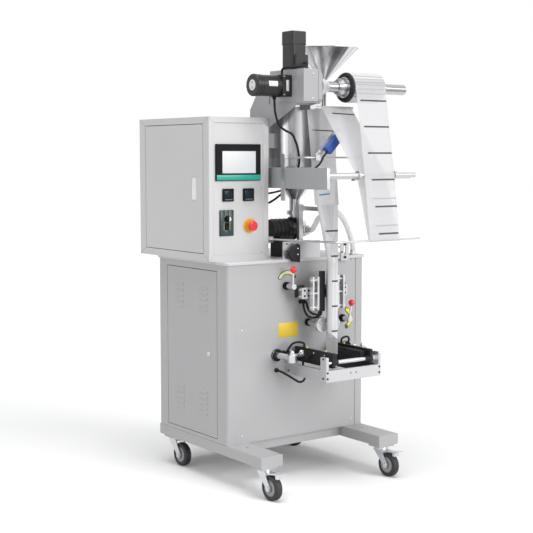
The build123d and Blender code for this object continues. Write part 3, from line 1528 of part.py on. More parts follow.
# Cables and hoses: straight runs joined by arcs as wide as the runs allow
cable_r = 4.5
thin_cable_r = 4.0
hose_r = 11.0


def bends(points):
    corners = []
    for before, here, after in zip(points, points[1:], points[2:]):
        run_in = Vector(*here) - Vector(*before)
        run_out = Vector(*after) - Vector(*here)
        half_turn = radians(run_in.get_angle(run_out) / 2)
        corners.append(0.45 * min(run_in.length, run_out.length) / tan(half_turn))
    return corners


roll_cable = [
    (left + 200, motor_y, roll_z - can_r - 0.2),
    (left + 203, motor_y, 1478),
    (left + 222, motor_y, 1428),
    (left + 255, motor_y + 2, 1408),
    (left + 290, motor_y, 1396),
    (left + 322, motor_y + 6, 1344),
    (left + 342, motor_y + 18, 1275),
    (left + 330, front + 8, 1215),
    (left + 304, front + 32, 1166),
    (left + 286, front + 72, 1134),
    (left + 274, front + 98, 1118),
    (box_right, front + 98, 1118),
]
stirrer_cable = [
    (stirrer_x + 18, stirrer_y - 50, gear_z1 + 23),
    (stirrer_x + 18, stirrer_y - 66, gear_z1 + 23),
    (stirrer_x + 4, stirrer_y - 76, 1662),
    (stirrer_x - 26, stirrer_y - 74, 1655),
    (stirrer_x - 52, stirrer_y - 58, 1652),
    (stirrer_x - 62, stirrer_y - 30, 1652),
    (stirrer_x - 62, stirrer_y - 4, 1646),
    (stirrer_x - 62, stirrer_y - 4, roll_z + 42),
]
eye_end_x = eye_x + 4 * sin(radians(strip_tilt)) - (eye_long / 2 + face_gap) * cos(radians(strip_tilt))
eye_end_z = eye_z - 4 * sin(radians(strip_tilt)) - (eye_long / 2 + face_gap) * sin(radians(strip_tilt))
cable_y = eye_rod_y - 7.5
sensor_route = [
    (eye_end_x, cable_y, eye_end_z),
    (eye_end_x - 19, cable_y, eye_end_z - 19),
    (left + 354, cable_y, 1280),
    (left + 326, eye_rod_y + 4, 1254),
    (left + 304, front - 102, 1232),
    (left + 293, front - 68, 1210),
    (left + 291, front - 25, 1190),
    (left + 288, front + 20, 1172),
    (left + 277, front + 60, 1163),
    (left + 271, front + 96, 1157),
    (left + 267, front + 124, 1156),
    (box_right, front + 124, 1156),
]
with BuildPart() as machine_cables:
    for route, thick in ((roll_cable, cable_r), (stirrer_cable, cable_r), (sensor_route, thin_cable_r)):
        print("machine cable radii", [round(r, 1) for r in bends(route)])
        with BuildLine() as run:
            FilletPolyline(*route, radius=bends(route))
        with BuildSketch(Plane(origin=run.line @ 0, z_dir=run.line % 0)):
            Circle(thick)
        sweep(path=run.line)
machine_cables.part.label = "machine_cables"
export_step(machine_cables.part, "parts/machine_cables.step")

# Heater cables: to the back seam jaw, and to each cross jaw
heater_routes = [
    [
        (left + 361, panel_y, 718),
        (left + 361, front - 18, 718),
        (left + 350, front - 38, 690),
        (left + 354, front - 56, 662),
        (left + 388, front - 64, 655),
        (left + 409, front - 76, 670),
        (left + 409, front - 76, seam_low),
    ],
    [
        (left + 377, panel_y, 717),
        (left + 377, front - 18, 717),
        (left + 369, front - 40, 692),
        (left + 368, front - 64, 674),
        (left + 391, front - 84, 669),
        (left + 391, front - 84, seam_low),
    ],
    [
        (left + 240, panel_y, 447),
        (left + 240, front - 24, 447),
        (left + 266, front - 42, 430),
        (left + 292, front - 48, 412),
        (left + 318, front - 52, 396),
        (left + 341, front - 54, 402),
        (left + 346, front - 52, 432),
        (left + 337, front - 50, 456),
        (left + 337, front - 50, carriage_z),
    ],
]
for hand, start in zip((-1, 1), (156, 140)):
    heater_routes.append(
        [
            (tube_x + hand * start, panel_y, 516),
            (tube_x + hand * start, front - 20, 516),
            (tube_x + hand * 158, front - 38, 540),
            (tube_x + hand * 146, front - 48, 560),
            (tube_x + hand * 120, front - 54, 563),
            (tube_x + hand * 97, front - 60, 557),
            (tube_x + hand * 97, front - 60, carriage_z + carriage_h),
        ]
    )
with BuildPart() as jaw_cables:
    for route in heater_routes:
        print("jaw cable radii", [round(r, 1) for r in bends(route)])
        with BuildLine() as run:
            FilletPolyline(*route, radius=bends(route))
        with BuildSketch(Plane(origin=run.line @ 0, z_dir=run.line % 0)):
            Circle(cable_r)
        sweep(path=run.line)
jaw_cables.part.label = "jaw_cables"
export_step(jaw_cables.part, "parts/jaw_cables.step")

product_route = [
    (left + 440, hopper_y - 72, pump_z - 2),
    (left + 440, front + 24, pump_z - 2),
    (left + 438, front - 2, pump_z + 28),
    (stub_x, front - 26, stub_z),
    (stub_x, mouth_y + 24, stub_z),
]
air_route = [
    (left + 452, mouth_y + 7, 1090),
    (left + 452, front - 36, 1090),
    (left + 504, front - 8, 1098),
    (left + 564, front + 3, 1074),
    (left + 611, front + 14, 1028),
    (left + 638, front + 18, 974),
    (left + 655, front + 20, 934),
    (left + 655, front + 20, cab_top),
]
with BuildPart() as hoses:
    for route in (product_route, air_route):
        print("hose radii", [round(r, 1) for r in bends(route)])
        with BuildLine() as run:
            FilletPolyline(*route, radius=bends(route))
        with BuildSketch(Plane(origin=run.line @ 0, z_dir=run.line % 0)):
            Circle(hose_r)
        sweep(path=run.line)
hoses.part.label = "hoses"
export_step(hoses.part, "parts/hoses.step")
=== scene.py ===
import json
from math import cos, pi, radians, sin

import bmesh
import bpy
from mathutils import Matrix, Vector
from mathutils.bvhtree import BVHTree


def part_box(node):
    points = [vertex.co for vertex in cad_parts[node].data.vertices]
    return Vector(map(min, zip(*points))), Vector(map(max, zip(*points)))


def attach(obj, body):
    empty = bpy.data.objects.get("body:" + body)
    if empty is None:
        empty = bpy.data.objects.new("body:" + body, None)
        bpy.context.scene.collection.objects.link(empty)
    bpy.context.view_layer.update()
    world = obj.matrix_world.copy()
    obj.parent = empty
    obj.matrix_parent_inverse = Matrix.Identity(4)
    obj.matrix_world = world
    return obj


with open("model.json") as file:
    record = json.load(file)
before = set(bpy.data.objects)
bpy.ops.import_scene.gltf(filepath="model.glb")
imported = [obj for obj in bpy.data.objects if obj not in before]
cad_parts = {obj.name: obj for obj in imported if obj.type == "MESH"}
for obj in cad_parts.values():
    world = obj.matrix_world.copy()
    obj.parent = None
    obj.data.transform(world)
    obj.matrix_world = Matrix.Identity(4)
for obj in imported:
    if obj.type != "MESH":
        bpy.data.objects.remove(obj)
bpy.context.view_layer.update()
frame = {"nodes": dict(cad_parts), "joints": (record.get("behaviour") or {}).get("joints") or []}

# Camera, pale floor and studio lights.
# The camera stands to the left of the machine's front, a little above its middle.
middle_right = 387.5
middle_back = 122.0


def spot(x, y, z):
    """Millimetres right, back and up from the cabinet's front left corner at floor level."""
    return Vector(((x - middle_right) / 1000, (y - middle_back) / 1000, z / 1000))


camera_height = 1307.4
camera_nod = 5.29
camera_data = bpy.data.cameras.new("camera")
camera_data.lens = 80.44
camera_data.sensor_width = 36.0
camera = bpy.data.objects.new("camera", camera_data)
camera.location = spot(-2584.1, -3818.6, camera_height)
camera.rotation_euler = (radians(90 - camera_nod), 0, radians(-36))
bpy.context.scene.collection.objects.link(camera)
bpy.context.scene.camera = camera
bpy.context.scene.view_settings.view_transform = "Standard"


def studio_lamp(name, place, spread, strength):
    """A far soft lamp that shines from a place towards the machine's middle."""
    lamp = bpy.data.lights.new(name, "SUN")
    lamp.angle = radians(spread)
    lamp.energy = strength
    held = bpy.data.objects.new(name, lamp)
    held.location = place
    held.rotation_euler = (Vector((0, 0, 0.9)) - Vector(place)).to_track_quat("-Z", "Y").to_euler()
    bpy.context.scene.collection.objects.link(held)


studio_lamp("front_lamp", (1.6, -4.4, 2.9), 40, 1.95)
studio_lamp("side_lamp", (-4.2, -0.6, 3.0), 60, 0.65)
studio_lamp("top_lamp", (-0.6, -0.4, 5.0), 40, 2.1)

world = bpy.data.worlds.new("studio")
bpy.context.scene.world = world
world.use_nodes = True
sky, sky_links = world.node_tree.nodes, world.node_tree.links
sky.clear()
ray = sky.new("ShaderNodeLightPath")
seen = sky.new("ShaderNodeMath")
seen.operation = "MAXIMUM"
sky_links.new(ray.outputs["Is Camera Ray"], seen.inputs[0])
sky_links.new(ray.outputs["Is Glossy Ray"], seen.inputs[1])
seen_too = sky.new("ShaderNodeMath")
seen_too.operation = "MAXIMUM"
sky_links.new(seen.outputs[0], seen_too.inputs[0])
sky_links.new(ray.outputs["Is Transmission Ray"], seen_too.inputs[1])
dim = sky.new("ShaderNodeBackground")
dim.inputs["Color"].default_value = (0.94, 0.96, 1.0, 1)
dim.inputs["Strength"].default_value = 0.16
white = sky.new("ShaderNodeBackground")
white.inputs["Color"].default_value = (1, 1, 1, 1)
white.inputs["Strength"].default_value = 1.0
either = sky.new("ShaderNodeMixShader")
sky_out = sky.new("ShaderNodeOutputWorld")
sky_links.new(seen_too.outputs[0], either.inputs[0])
sky_links.new(dim.outputs[0], either.inputs[1])
sky_links.new(white.outputs[0], either.inputs[2])
sky_links.new(either.outputs[0], sky_out.inputs["Surface"])

floor_mesh = bpy.data.meshes.new("floor")
floor_mesh.from_pydata([(-30, -12, 0), (30, -12, 0), (30, 48, 0), (-30, 48, 0)], [], [(0, 1, 2, 3)])
floor = bpy.data.objects.new("floor", floor_mesh)
bpy.context.scene.collection.objects.link(floor)
floor_paint = bpy.data.materials.new("floor_paint")
floor_paint.use_nodes = True
tree, wires = floor_paint.node_tree.nodes, floor_paint.node_tree.links
tree.clear()
matt = tree.new("ShaderNodeBsdfDiffuse")
matt.inputs["Color"].default_value = (0.9, 0.9, 0.9, 1)
glow = tree.new("ShaderNodeEmission")
glow.inputs["Strength"].default_value = 0.06
lifted = tree.new("ShaderNodeAddShader")
wires.new(matt.outputs[0], lifted.inputs[0])
wires.new(glow.outputs[0], lifted.inputs[1])
eye_ray = tree.new("ShaderNodeLightPath")
choose = tree.new("ShaderNodeMixShader")
wires.new(eye_ray.outputs["Is Camera Ray"], choose.inputs[0])
wires.new(matt.outputs[0], choose.inputs[1])
wires.new(lifted.outputs[0], choose.inputs[2])
floor_out = tree.new("ShaderNodeOutputMaterial")
wires.new(choose.outputs[0], floor_out.inputs["Surface"])
floor_mesh.materials.append(floor_paint)

# Base frame: two square tubes run forward as feet and are joined by two cross beams.
# Welded steel tube, ground smooth and sprayed in the same silver as the cabinet.


def finish(
    name, colour, metal=0.0, rough=0.5, wander=0.05, patch=3.0, grain=(60, 60, 60), depth=0.05,
    coat=0.0, shine=0.5,
):
    """Colour and roughness wander in soft patches, so many per metre, over a fine grain that is also felt."""
    made = bpy.data.materials.new(name)
    made.use_nodes = True
    parts, joins = made.node_tree.nodes, made.node_tree.links
    shader = parts["Principled BSDF"]
    shader.inputs["Metallic"].default_value = metal
    shader.inputs["Coat Weight"].default_value = coat
    shader.inputs["Specular IOR Level"].default_value = shine
    where = parts.new("ShaderNodeTexCoord")
    soft = parts.new("ShaderNodeTexNoise")
    soft.inputs["Scale"].default_value = patch
    soft.inputs["Detail"].default_value = 3.0
    joins.new(where.outputs["Object"], soft.inputs["Vector"])
    stretch = parts.new("ShaderNodeMapping")
    stretch.inputs["Scale"].default_value = grain
    joins.new(where.outputs["Object"], stretch.inputs["Vector"])
    fine = parts.new("ShaderNodeTexNoise")
    fine.inputs["Scale"].default_value = 10.0
    fine.inputs["Detail"].default_value = 4.0
    joins.new(stretch.outputs[0], fine.inputs["Vector"])
    shades = parts.new("ShaderNodeMapRange")
    shades.inputs["From Min"].default_value = 0.3
    shades.inputs["From Max"].default_value = 0.7
    shades.inputs["To Min"].default_value = 1 - wander
    shades.inputs["To Max"].default_value = 1 + wander
    both = parts.new("ShaderNodeMath")
    both.operation = "ADD"
    joins.new(soft.outputs["Fac"], both.inputs[0])
    joins.new(fine.outputs["Fac"], both.inputs[1])
    half = parts.new("ShaderNodeMath")
    half.operation = "MULTIPLY"
    half.inputs[1].default_value = 0.5
    joins.new(both.outputs[0], half.inputs[0])
    joins.new(half.outputs[0], shades.inputs["Value"])
    tint = parts.new("ShaderNodeVectorMath")
    tint.operation = "SCALE"
    tint.inputs[0].default_value = colour
    joins.new(shades.outputs[0], tint.inputs["Scale"])
    joins.new(tint.outputs[0], shader.inputs["Base Color"])
    sheen = parts.new("ShaderNodeMapRange")
    sheen.inputs["To Min"].default_value = max(0.02, rough - 0.08)
    sheen.inputs["To Max"].default_value = rough + 0.08
    joins.new(half.outputs[0], sheen.inputs["Value"])
    joins.new(sheen.outputs[0], shader.inputs["Roughness"])
    relief = parts.new("ShaderNodeBump")
    relief.inputs["Strength"].default_value = depth
    relief.inputs["Distance"].default_value = 0.001
    joins.new(fine.outputs["Fac"], relief.inputs["Height"])
    joins.new(relief.outputs[0], shader.inputs["Normal"])
    return made


def dress(node, material):
    """Gives a frame node its finish."""
    for face_slot in frame["nodes"][node].material_slots:
        face_slot.material = material


# Its silver is a darker copy of the box's silver: painted shade for the frame, which stands low near the
# floor.
frame_shaded_paint = finish(
    "frame_shaded_paint", (0.42, 0.42, 0.425), metal=0.25, rough=0.42, wander=0.03, grain=(90, 90, 90),
    depth=0.04,
)
dress("base_frame", frame_shaded_paint)

# Casters: zinc plated forks, rubber wheels, and a foot brake on the two in front.
# Each turns on its king pin under a bolted plate, and the wheel on its axle bolt.
zinc_plate = finish(
    "zinc_plate", (0.66, 0.67, 0.69), metal=0.9, rough=0.25, wander=0.06, grain=(50, 50, 50),
    depth=0.03,
)
tyre_rubber = finish(
    "tyre_rubber", (0.018, 0.018, 0.02), rough=0.55, wander=0.2, grain=(120, 120, 120), depth=0.1,
)
hub_grey = finish("hub_grey", (0.3, 0.3, 0.31), rough=0.4, wander=0.06, grain=(80, 80, 80), depth=0.04)


def turned(form, centre, axis, profile, steps=24):
    """Adds a turned shape: pairs of radius and height in millimetres, along an axis from a centre."""
    axis = Vector(axis).normalized()
    side = axis.orthogonal().normalized()
    across = axis.cross(side)
    rings = []
    for radius, height in profile:
        foot = Vector(centre) + axis * (height / 1000)
        if radius == 0:
            rings.append([form.verts.new(foot)])
            continue
        turns = [2 * pi * k / steps for k in range(steps)]
        rings.append(
            [form.verts.new(foot + (side * cos(t) + across * sin(t)) * (radius / 1000)) for t in turns]
        )
    for low, high in zip(rings, rings[1:]):
        for k in range(steps):
            n = (k + 1) % steps
            corners = [low[k % len(low)], low[n % len(low)], high[n % len(high)], high[k % len(high)]]
            form.faces.new(list(dict.fromkeys(corners)))


def shown(name, form, material, body="machine", crease=35):
    """Makes a piece of the mesh so far and lets it ride on a body."""
    bmesh.ops.recalc_face_normals(form, faces=form.faces)
    mesh = bpy.data.meshes.new(name)
    form.to_mesh(mesh)
    form.free()
    mesh.shade_smooth()
    mesh.set_sharp_from_angle(angle=radians(crease))
    mesh.materials.append(material)
    piece = bpy.data.objects.new(name, mesh)
    bpy.context.scene.collection.objects.link(piece)
    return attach(piece, body)


for corner in ("front_left", "front_right", "rear_left", "rear_right"):
    dress(f"caster_fork_{corner}", zinc_plate)
    dress(f"caster_wheel_{corner}", tyre_rubber)
    low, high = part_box(f"caster_wheel_{corner}")
    axle = Vector((cos(radians(-2)), -sin(radians(-2)), 0))
    hub = bmesh.new()
    for side in (-1, 1):
        rim = [
            (15.2, 10.1), (15.2, 13), (19, 14.2), (22, 12.6), (29, 12.6), (31, 14.2), (32.7, 13),
            (32.7, 10.1),
        ]
        turned(hub, (low + high) / 2, axle * side, rim, 40)
        turned(
            hub, (low + high) / 2, axle * side,
            [(5.6, 14.9), (5.6, 16), (12.5, 16), (14.6, 15.4), (14.6, 14.9)], 32,
        )
    shown(f"wheel_hub_{corner}", hub, hub_grey, f"wheel_{corner}")
    low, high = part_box(f"caster_fork_{corner}")
    pin = [joint for joint in frame["joints"] if joint["name"] == f"swivel_{corner}"][0]["pos_m"]
    race = bmesh.new()
    bead = [(26.2, -4.5), (27.6, -3.6), (28.2, -2), (28.2, 0.5), (27.6, 2.2), (26.2, 3.2)]
    turned(race, Vector((pin[0], pin[1], 0.1135)), (0, 0, 1), bead, 40)
    shown(f"swivel_race_{corner}", race, zinc_plate, f"caster_{corner}")

# Cabinet: folded sheet steel walls, a lid that overhangs them and a pressed door.
# Spot welded, with a sunk front panel that is held by screws between the corner posts.
# The shell and door take a darker copy of the lid's silver: painted shade, as the light falls off towards the
# floor.
cabinet_shaded_paint = finish(
    "cabinet_shaded_paint", (0.43, 0.43, 0.435), metal=0.25, rough=0.42, wander=0.04, patch=1.2,
    grain=(90, 90, 90), depth=0.04,
)
silver_paint = finish(
    "silver_paint", (0.56, 0.56, 0.565), metal=0.25, rough=0.42, wander=0.03, grain=(90, 90, 90),
    depth=0.04,
)
dress("cabinet_shell", cabinet_shaded_paint)
dress("cabinet_door", cabinet_shaded_paint)
dress("cabinet_lid", silver_paint)


def slab(form, low, high, edge=0.3, turn=None):
    """Adds a block with soft edges between two corners in millimetres, turned about its middle if asked."""
    low, high = spot(*low), spot(*high)
    block = bmesh.ops.create_cube(form, size=1.0)["verts"]
    bmesh.ops.scale(form, vec=high - low, verts=block)
    if turn is not None:
        bmesh.ops.transform(form, matrix=turn, verts=block)
    bmesh.ops.translate(form, vec=(low + high) / 2, verts=block)
    rims = list({rim for vert in block for rim in vert.link_edges})
    bmesh.ops.bevel(form, geom=rims, offset=edge / 1000, segments=2, profile=0.5, affect="EDGES")


def screws(form, places, axis, radius, height):
    """Adds screw heads with a socket, at places in millimetres on the face they hold."""
    dome = [(0, 0), (1, 0), (1, 0.5), (0.82, 1), (0.42, 1), (0.36, 0.4), (0, 0.35)]
    for place in places:
        turned(form, spot(*place), axis, [(r * radius, h * height) for r, h in dome], 16)


toward = (0, -1, 0)
panel_screws = bmesh.new()
screws(
    panel_screws, [(69.5, 2, 622), (69.5, 2, 198), (349, 2, 198), (635.5, 2, 874), (635.5, 2, 198)],
    toward, 4.2, 2.2,
)
shown("cabinet_screws", panel_screws, zinc_plate)
lock = bmesh.new()
turned(
    lock, spot(0, 130, 520), (-1, 0, 0),
    [(0, 0), (10, 0), (10, 2.2), (8.6, 3.4), (4, 3.4), (3.6, 1.8), (0, 1.8)], 32,
)
slab(lock, (-3.2, 129.2, 516.5), (-1.5, 130.8, 523.5), 0.2)
shown("cabinet_lock", lock, zinc_plate, "cabinet_door")
plate_yellow = finish("plate_yellow", (0.72, 0.5, 0.03), rough=0.35, wander=0.03, depth=0.02)
plate = bmesh.new()
slab(plate, (252, 1.2, 577.5), (349, 2, 636.5), 0.25)
shown("yellow_plate", plate, plate_yellow)

# Control box: a deep sheet steel box on the cabinet's front left corner.
# Its left side is a door, and its front a sunk panel for the controls.
for node in ("control_box_shell", "control_box_door"):
    dress(node, silver_paint)
seam_dark = finish("seam_dark", (0.07, 0.07, 0.072), rough=0.6, wander=0.1, depth=0.03)


def seam(form, start, end, normal, width=0.7):
    """Adds a fine joint line between two points in millimetres on a face."""
    start, end = spot(*start), spot(*end)
    across = (end - start).cross(Vector(normal)).normalized() * (width / 2000)
    lift = Vector(normal) * 0.0001
    edges = (start - across, end - across, end + across, start + across)
    form.faces.new([form.verts.new(edge + lift) for edge in edges])


mitres = bmesh.new()
for x, inner_x in ((-37, -18), (249, 224)):
    for z, inner_z in ((896, 917), (1460, 1439)):
        seam(mitres, (x, 67, z), (inner_x, 67, inner_z), toward)
for y, inner_y in ((68, 110), (600, 550)):
    for z, inner_z in ((896, 926), (1460, 1432)):
        seam(mitres, (-38, y, z), (-38, inner_y, inner_z), (-1, 0, 0))
shown("mitre_seams", mitres, seam_dark)
box_screws = bmesh.new()
screws(box_screws, [(x, 70, z) for x in (-13, 216.3) for z in (922.7, 1178.3, 1434.3)], toward, 3.0, 1.8)
shown("box_screws", box_screws, zinc_plate)
handle = bmesh.new()
slab(handle, (-38.3, 159, 1136), (-37.9, 189, 1222), 0.1)
handle_chrome = finish("handle_chrome", (0.7, 0.71, 0.72), metal=1.0, rough=0.18, wander=0.04, depth=0.01)
shown("door_handle_plate", handle, handle_chrome, "box_door")

# Operator screen: a touch display in a black moulded bezel over a coloured strip.
# The bezel is injection moulded and clips into the sunk panel; the display lies in its recess.
black_moulding = finish(
    "black_moulding", (0.006, 0.006, 0.007), rough=0.42, wander=0.15, grain=(200, 200, 200),
    depth=0.05, shine=0.12,
)
display_glass = finish("display_glass", (0.72, 0.73, 0.74), rough=0.4, wander=0.02, patch=8.0, depth=0.005)
strip_teal = finish(
    "strip_teal", (0.013, 0.36, 0.27), rough=0.3, wander=0.05, grain=(150, 150, 150), depth=0.02,
)
dress("touch_screen", black_moulding)
display = bmesh.new()
slab(display, (22.5, 61.9, 1240.5), (182.5, 62.6, 1327.5), 0.2)
shown("display", display, display_glass)
strip = bmesh.new()
slab(strip, (-4.5, 60.8, 1213.5), (205.5, 61.2, 1234), 0.15)
shown("screen_strip", strip, strip_teal)

# Panel controllers: two square temperature controllers and the speed regulator's plate.
# Each is a moulded case with a dark window and four soft keys; the plate is printed.
dress("panel_meters", black_moulding)
window_dark = finish("window_dark", (0.008, 0.02, 0.03), rough=0.2, wander=0.1, depth=0.005, shine=0.2)
key_grey = finish("key_grey", (0.16, 0.17, 0.18), rough=0.55, wander=0.06, grain=(250, 250, 250), depth=0.05)
windows = bmesh.new()
keys = bmesh.new()
for meter_x in (52, 150):
    slab(windows, (meter_x - 18.6, 63.3, 1146.4), (meter_x + 18.6, 64.1, 1171.6), 0.2)
    for key in range(4):
        key_x = meter_x - 15.5 + key * 9
        slab(keys, (key_x, 62.6, 1135), (key_x + 6, 63.1, 1139.5), 0.2)
shown("meter_windows", windows, window_dark)
shown("meter_keys", keys, key_grey)
plate_teal = finish(
    "plate_teal", (0.018, 0.05, 0.055), rough=0.3, wander=0.06, grain=(150, 150, 150), depth=0.02,
)
plate = bmesh.new()
for x0, x1, z0, z1 in (
    (14, 35.4, 995, 1095), (54.6, 76, 995, 1095), (35.4, 54.6, 1044.7, 1095),
    (35.4, 54.6, 995, 1017.3),
):
    slab(plate, (x0, 64.85, z0), (x1, 65.1, z1), 0.1)
shown("regulator_plate", plate, plate_teal)
ink_gold = finish("ink_gold", (0.5, 0.36, 0.1), rough=0.45, wander=0.08, depth=0.02)
scale_marks = bmesh.new()
knob_x, knob_z = 47, 1061
for tick in range(11):
    lean = radians(-135 + 27 * tick)
    mid_x, mid_z = knob_x + 18.5 * sin(lean), knob_z + 18.5 * cos(lean)
    turn = Matrix.Rotation(lean, 4, "Y")
    slab(scale_marks, (mid_x - 0.8, 64.7, mid_z - 2.5), (mid_x + 0.8, 64.9, mid_z + 2.5), 0.05, turn)
for bar in range(6):
    for bar_x in (29, 57):
        slab(scale_marks, (bar_x, 64.7, 1018 + bar * 4.8), (bar_x + 4.4, 64.9, 1020.4 + bar * 4.8), 0.05)
shown("regulator_scale", scale_marks, ink_gold)

# Regulator knob and rocker switch: pressed on a spindle, and snapped into the plate.
# The knob's face has one light half.
dress("regulator_knob", black_moulding)
dress("rocker_switch", black_moulding)
knob_white = finish("knob_white", (0.7, 0.7, 0.7), rough=0.35, wander=0.03, depth=0.02)
knob_half = bmesh.new()
face_x = knob_x + 0.8
arc_points = [
    spot(face_x + 9.3 * sin(radians(t)), 51.6, knob_z + 9.3 * cos(radians(t))) for t in range(0, 181, 12)
]
knob_face = knob_half.faces.new([knob_half.verts.new(point) for point in arc_points])
half_disc = bmesh.ops.extrude_face_region(knob_half, geom=[knob_face])["geom"]
bmesh.ops.translate(
    knob_half, vec=(0, 0.0002, 0),
    verts=[v for v in half_disc if isinstance(v, bmesh.types.BMVert)],
)
shown("knob_mark", knob_half, knob_white, "regulator_knob")

# Stop button: a red mushroom head that latches in a yellow ring.
# Both are glossy mouldings; the ring is held by a nut behind the panel.
ring_yellow = finish("ring_yellow", (0.85, 0.42, 0.02), rough=0.3, wander=0.04, depth=0.02, coat=0.3)
button_red = finish("button_red", (0.78, 0.02, 0.035), rough=0.25, wander=0.05, depth=0.02, coat=0.4)
dress("stop_ring", ring_yellow)
dress("stop_button", button_red)

# Clutch levers: chromed rods with red ball grips, in front of painted arcs.
# The rods are screwed into hubs that turn in black bushes, and the arcs are printed plates.
bright_chrome = finish("bright_chrome", (0.75, 0.76, 0.78), metal=1.0, rough=0.14, wander=0.03, depth=0.01)
grip_red = finish("grip_red", (0.8, 0.015, 0.03), rough=0.18, wander=0.04, depth=0.01, coat=0.6)
dress("clutch_lever_1", bright_chrome)
dress("clutch_lever_2", bright_chrome)
dress("panel_bushes", black_moulding)
dress("lever_arcs", seam_dark)
for number, lever_x, lever_z, lean in ((1, 288, 787, 1), (2, 582, 633, 10)):
    rise = Vector((sin(radians(lean)), 0, cos(radians(lean))))
    grip = bmesh.new()
    ball = [(13.7 * sin(radians(t)), -13.7 * cos(radians(t))) for t in range(24, 175, 10)]
    turned(
        grip, spot(lever_x, -47, lever_z) + rise * 0.069, rise,
        [(5.0, -14.6), (6.2, -14.6)] + ball + [(0, 13.7)], 40,
    )
    shown(f"lever_grip_{number}", grip, grip_red, f"clutch_lever_{number}", 50)
    nut = bmesh.new()
    turned(nut, spot(lever_x, -55, lever_z), toward, [(0, 1.2), (3.4, 1.2), (4.2, 0.6), (4.2, 0)], 24)
    shown(f"lever_screw_{number}", nut, bright_chrome, f"clutch_lever_{number}")


def arc_band(form, middle, mid_r, half_w, facing, half_turn):
    """Adds a curved band with round ends on the panel, 0.3 mm proud of its plate."""
    outline = []
    for end in range(-20, 21):
        t = radians(facing + half_turn * end / 20)
        outline.append((middle[0] + (mid_r + half_w) * cos(t), middle[1] + (mid_r + half_w) * sin(t)))
    for hand in (1, -1):
        t = radians(facing + hand * half_turn)
        cap = (middle[0] + mid_r * cos(t), middle[1] + mid_r * sin(t))
        for step in range(1, 12):
            lean = t + hand * pi * step / 12 + (0 if hand > 0 else pi)
            outline.append((cap[0] + half_w * cos(lean), cap[1] + half_w * sin(lean)))
        if hand > 0:
            for end in range(20, -21, -1):
                t = radians(facing + half_turn * end / 20)
                outline.append((middle[0] + (mid_r - half_w) * cos(t), middle[1] + (mid_r - half_w) * sin(t)))
    front = [form.verts.new(spot(x, -0.3, z)) for x, z in outline]
    back = [form.verts.new(spot(x, 0.1, z)) for x, z in outline]
    form.faces.new(front)
    for k in range(len(outline)):
        form.faces.new([front[k], front[k - 1], back[k - 1], back[k]])


arc_pale = finish("arc_pale", (0.8, 0.83, 0.42), rough=0.4, wander=0.03, depth=0.02)
arc_yellow = finish("arc_yellow", (0.83, 0.8, 0.02), rough=0.4, wander=0.03, depth=0.02)
first_arc = bmesh.new()
arc_band(first_arc, (294, 797), 44, 5.6, 90, 55.6)
shown("lever_arc_1", first_arc, arc_pale)
second_arc = bmesh.new()
arc_band(second_arc, (587, 631), 41, 6.6, 0, 59.4)
shown("lever_arc_2", second_arc, arc_yellow)

# Pulling wheels: two turned steel discs that pinch the film's back seam.
# Each is faced on the lathe and keyed on its shaft; a painted reflection fans out over its face.


def streaked(made, centre, flat, scale, dark, bright, wide=0.2):
    """Light and dark streaks that run along a round piece from end to end, or fan out over its face; on
    bright metal and the sleeve they are painted reflections.
    """
    parts, joins = made.node_tree.nodes, made.node_tree.links
    shader = parts["Principled BSDF"]
    plain = shader.inputs["Base Color"].links[0].from_socket
    where = parts.new("ShaderNodeTexCoord")
    around = parts.new("ShaderNodeVectorMath")
    around.operation = "SUBTRACT"
    around.inputs[1].default_value = centre
    joins.new(where.outputs["Object"], around.inputs[0])
    flatten = parts.new("ShaderNodeVectorMath")
    flatten.operation = "MULTIPLY"
    flatten.inputs[1].default_value = flat
    joins.new(around.outputs[0], flatten.inputs[0])
    unit = parts.new("ShaderNodeVectorMath")
    unit.operation = "NORMALIZE"
    joins.new(flatten.outputs[0], unit.inputs[0])
    lines = parts.new("ShaderNodeTexNoise")
    lines.inputs["Scale"].default_value = scale
    lines.inputs["Detail"].default_value = 3.0
    joins.new(unit.outputs[0], lines.inputs["Vector"])
    levels = parts.new("ShaderNodeMapRange")
    levels.interpolation_type = "SMOOTHSTEP"
    levels.inputs["From Min"].default_value = 0.5 - wide / 2
    levels.inputs["From Max"].default_value = 0.5 + wide / 2
    levels.inputs["To Min"].default_value = dark
    levels.inputs["To Max"].default_value = bright
    joins.new(lines.outputs["Fac"], levels.inputs["Value"])
    shaded = parts.new("ShaderNodeVectorMath")
    shaded.operation = "SCALE"
    joins.new(plain, shaded.inputs[0])
    joins.new(levels.outputs[0], shaded.inputs["Scale"])
    joins.new(shaded.outputs[0], shader.inputs["Base Color"])


for side, wheel_x in (("left", 401.7), ("right", 462.3)):
    faced = finish(
        f"faced_steel_{side}", (0.56, 0.56, 0.57), metal=0.7, rough=0.42, wander=0.05,
        grain=(60, 60, 60), depth=0.02,
    )
    # Painted reflection: light and dark streaks fan out over the wheel's face.
    streaked(faced, spot(wheel_x, -90, 630), (1, 0, 1), 1.3, 0.75, 1.2, 0.3)
    dress(f"pull_wheel_{side}", faced)
    boss = bmesh.new()
    turned(boss, spot(wheel_x, -91.5, 630), toward, [(4, 0), (4, 1.6), (8.2, 1.6), (8.8, 1.1), (8.8, 0)], 32)
    shown(f"wheel_boss_{side}", boss, black_moulding, f"pull_wheel_{side}")

# Back seam jaws: black heater blocks that slide together on two short rods.
# Each is clamped between two bright spring plates by three bolts, and the rods sit in steel blocks.


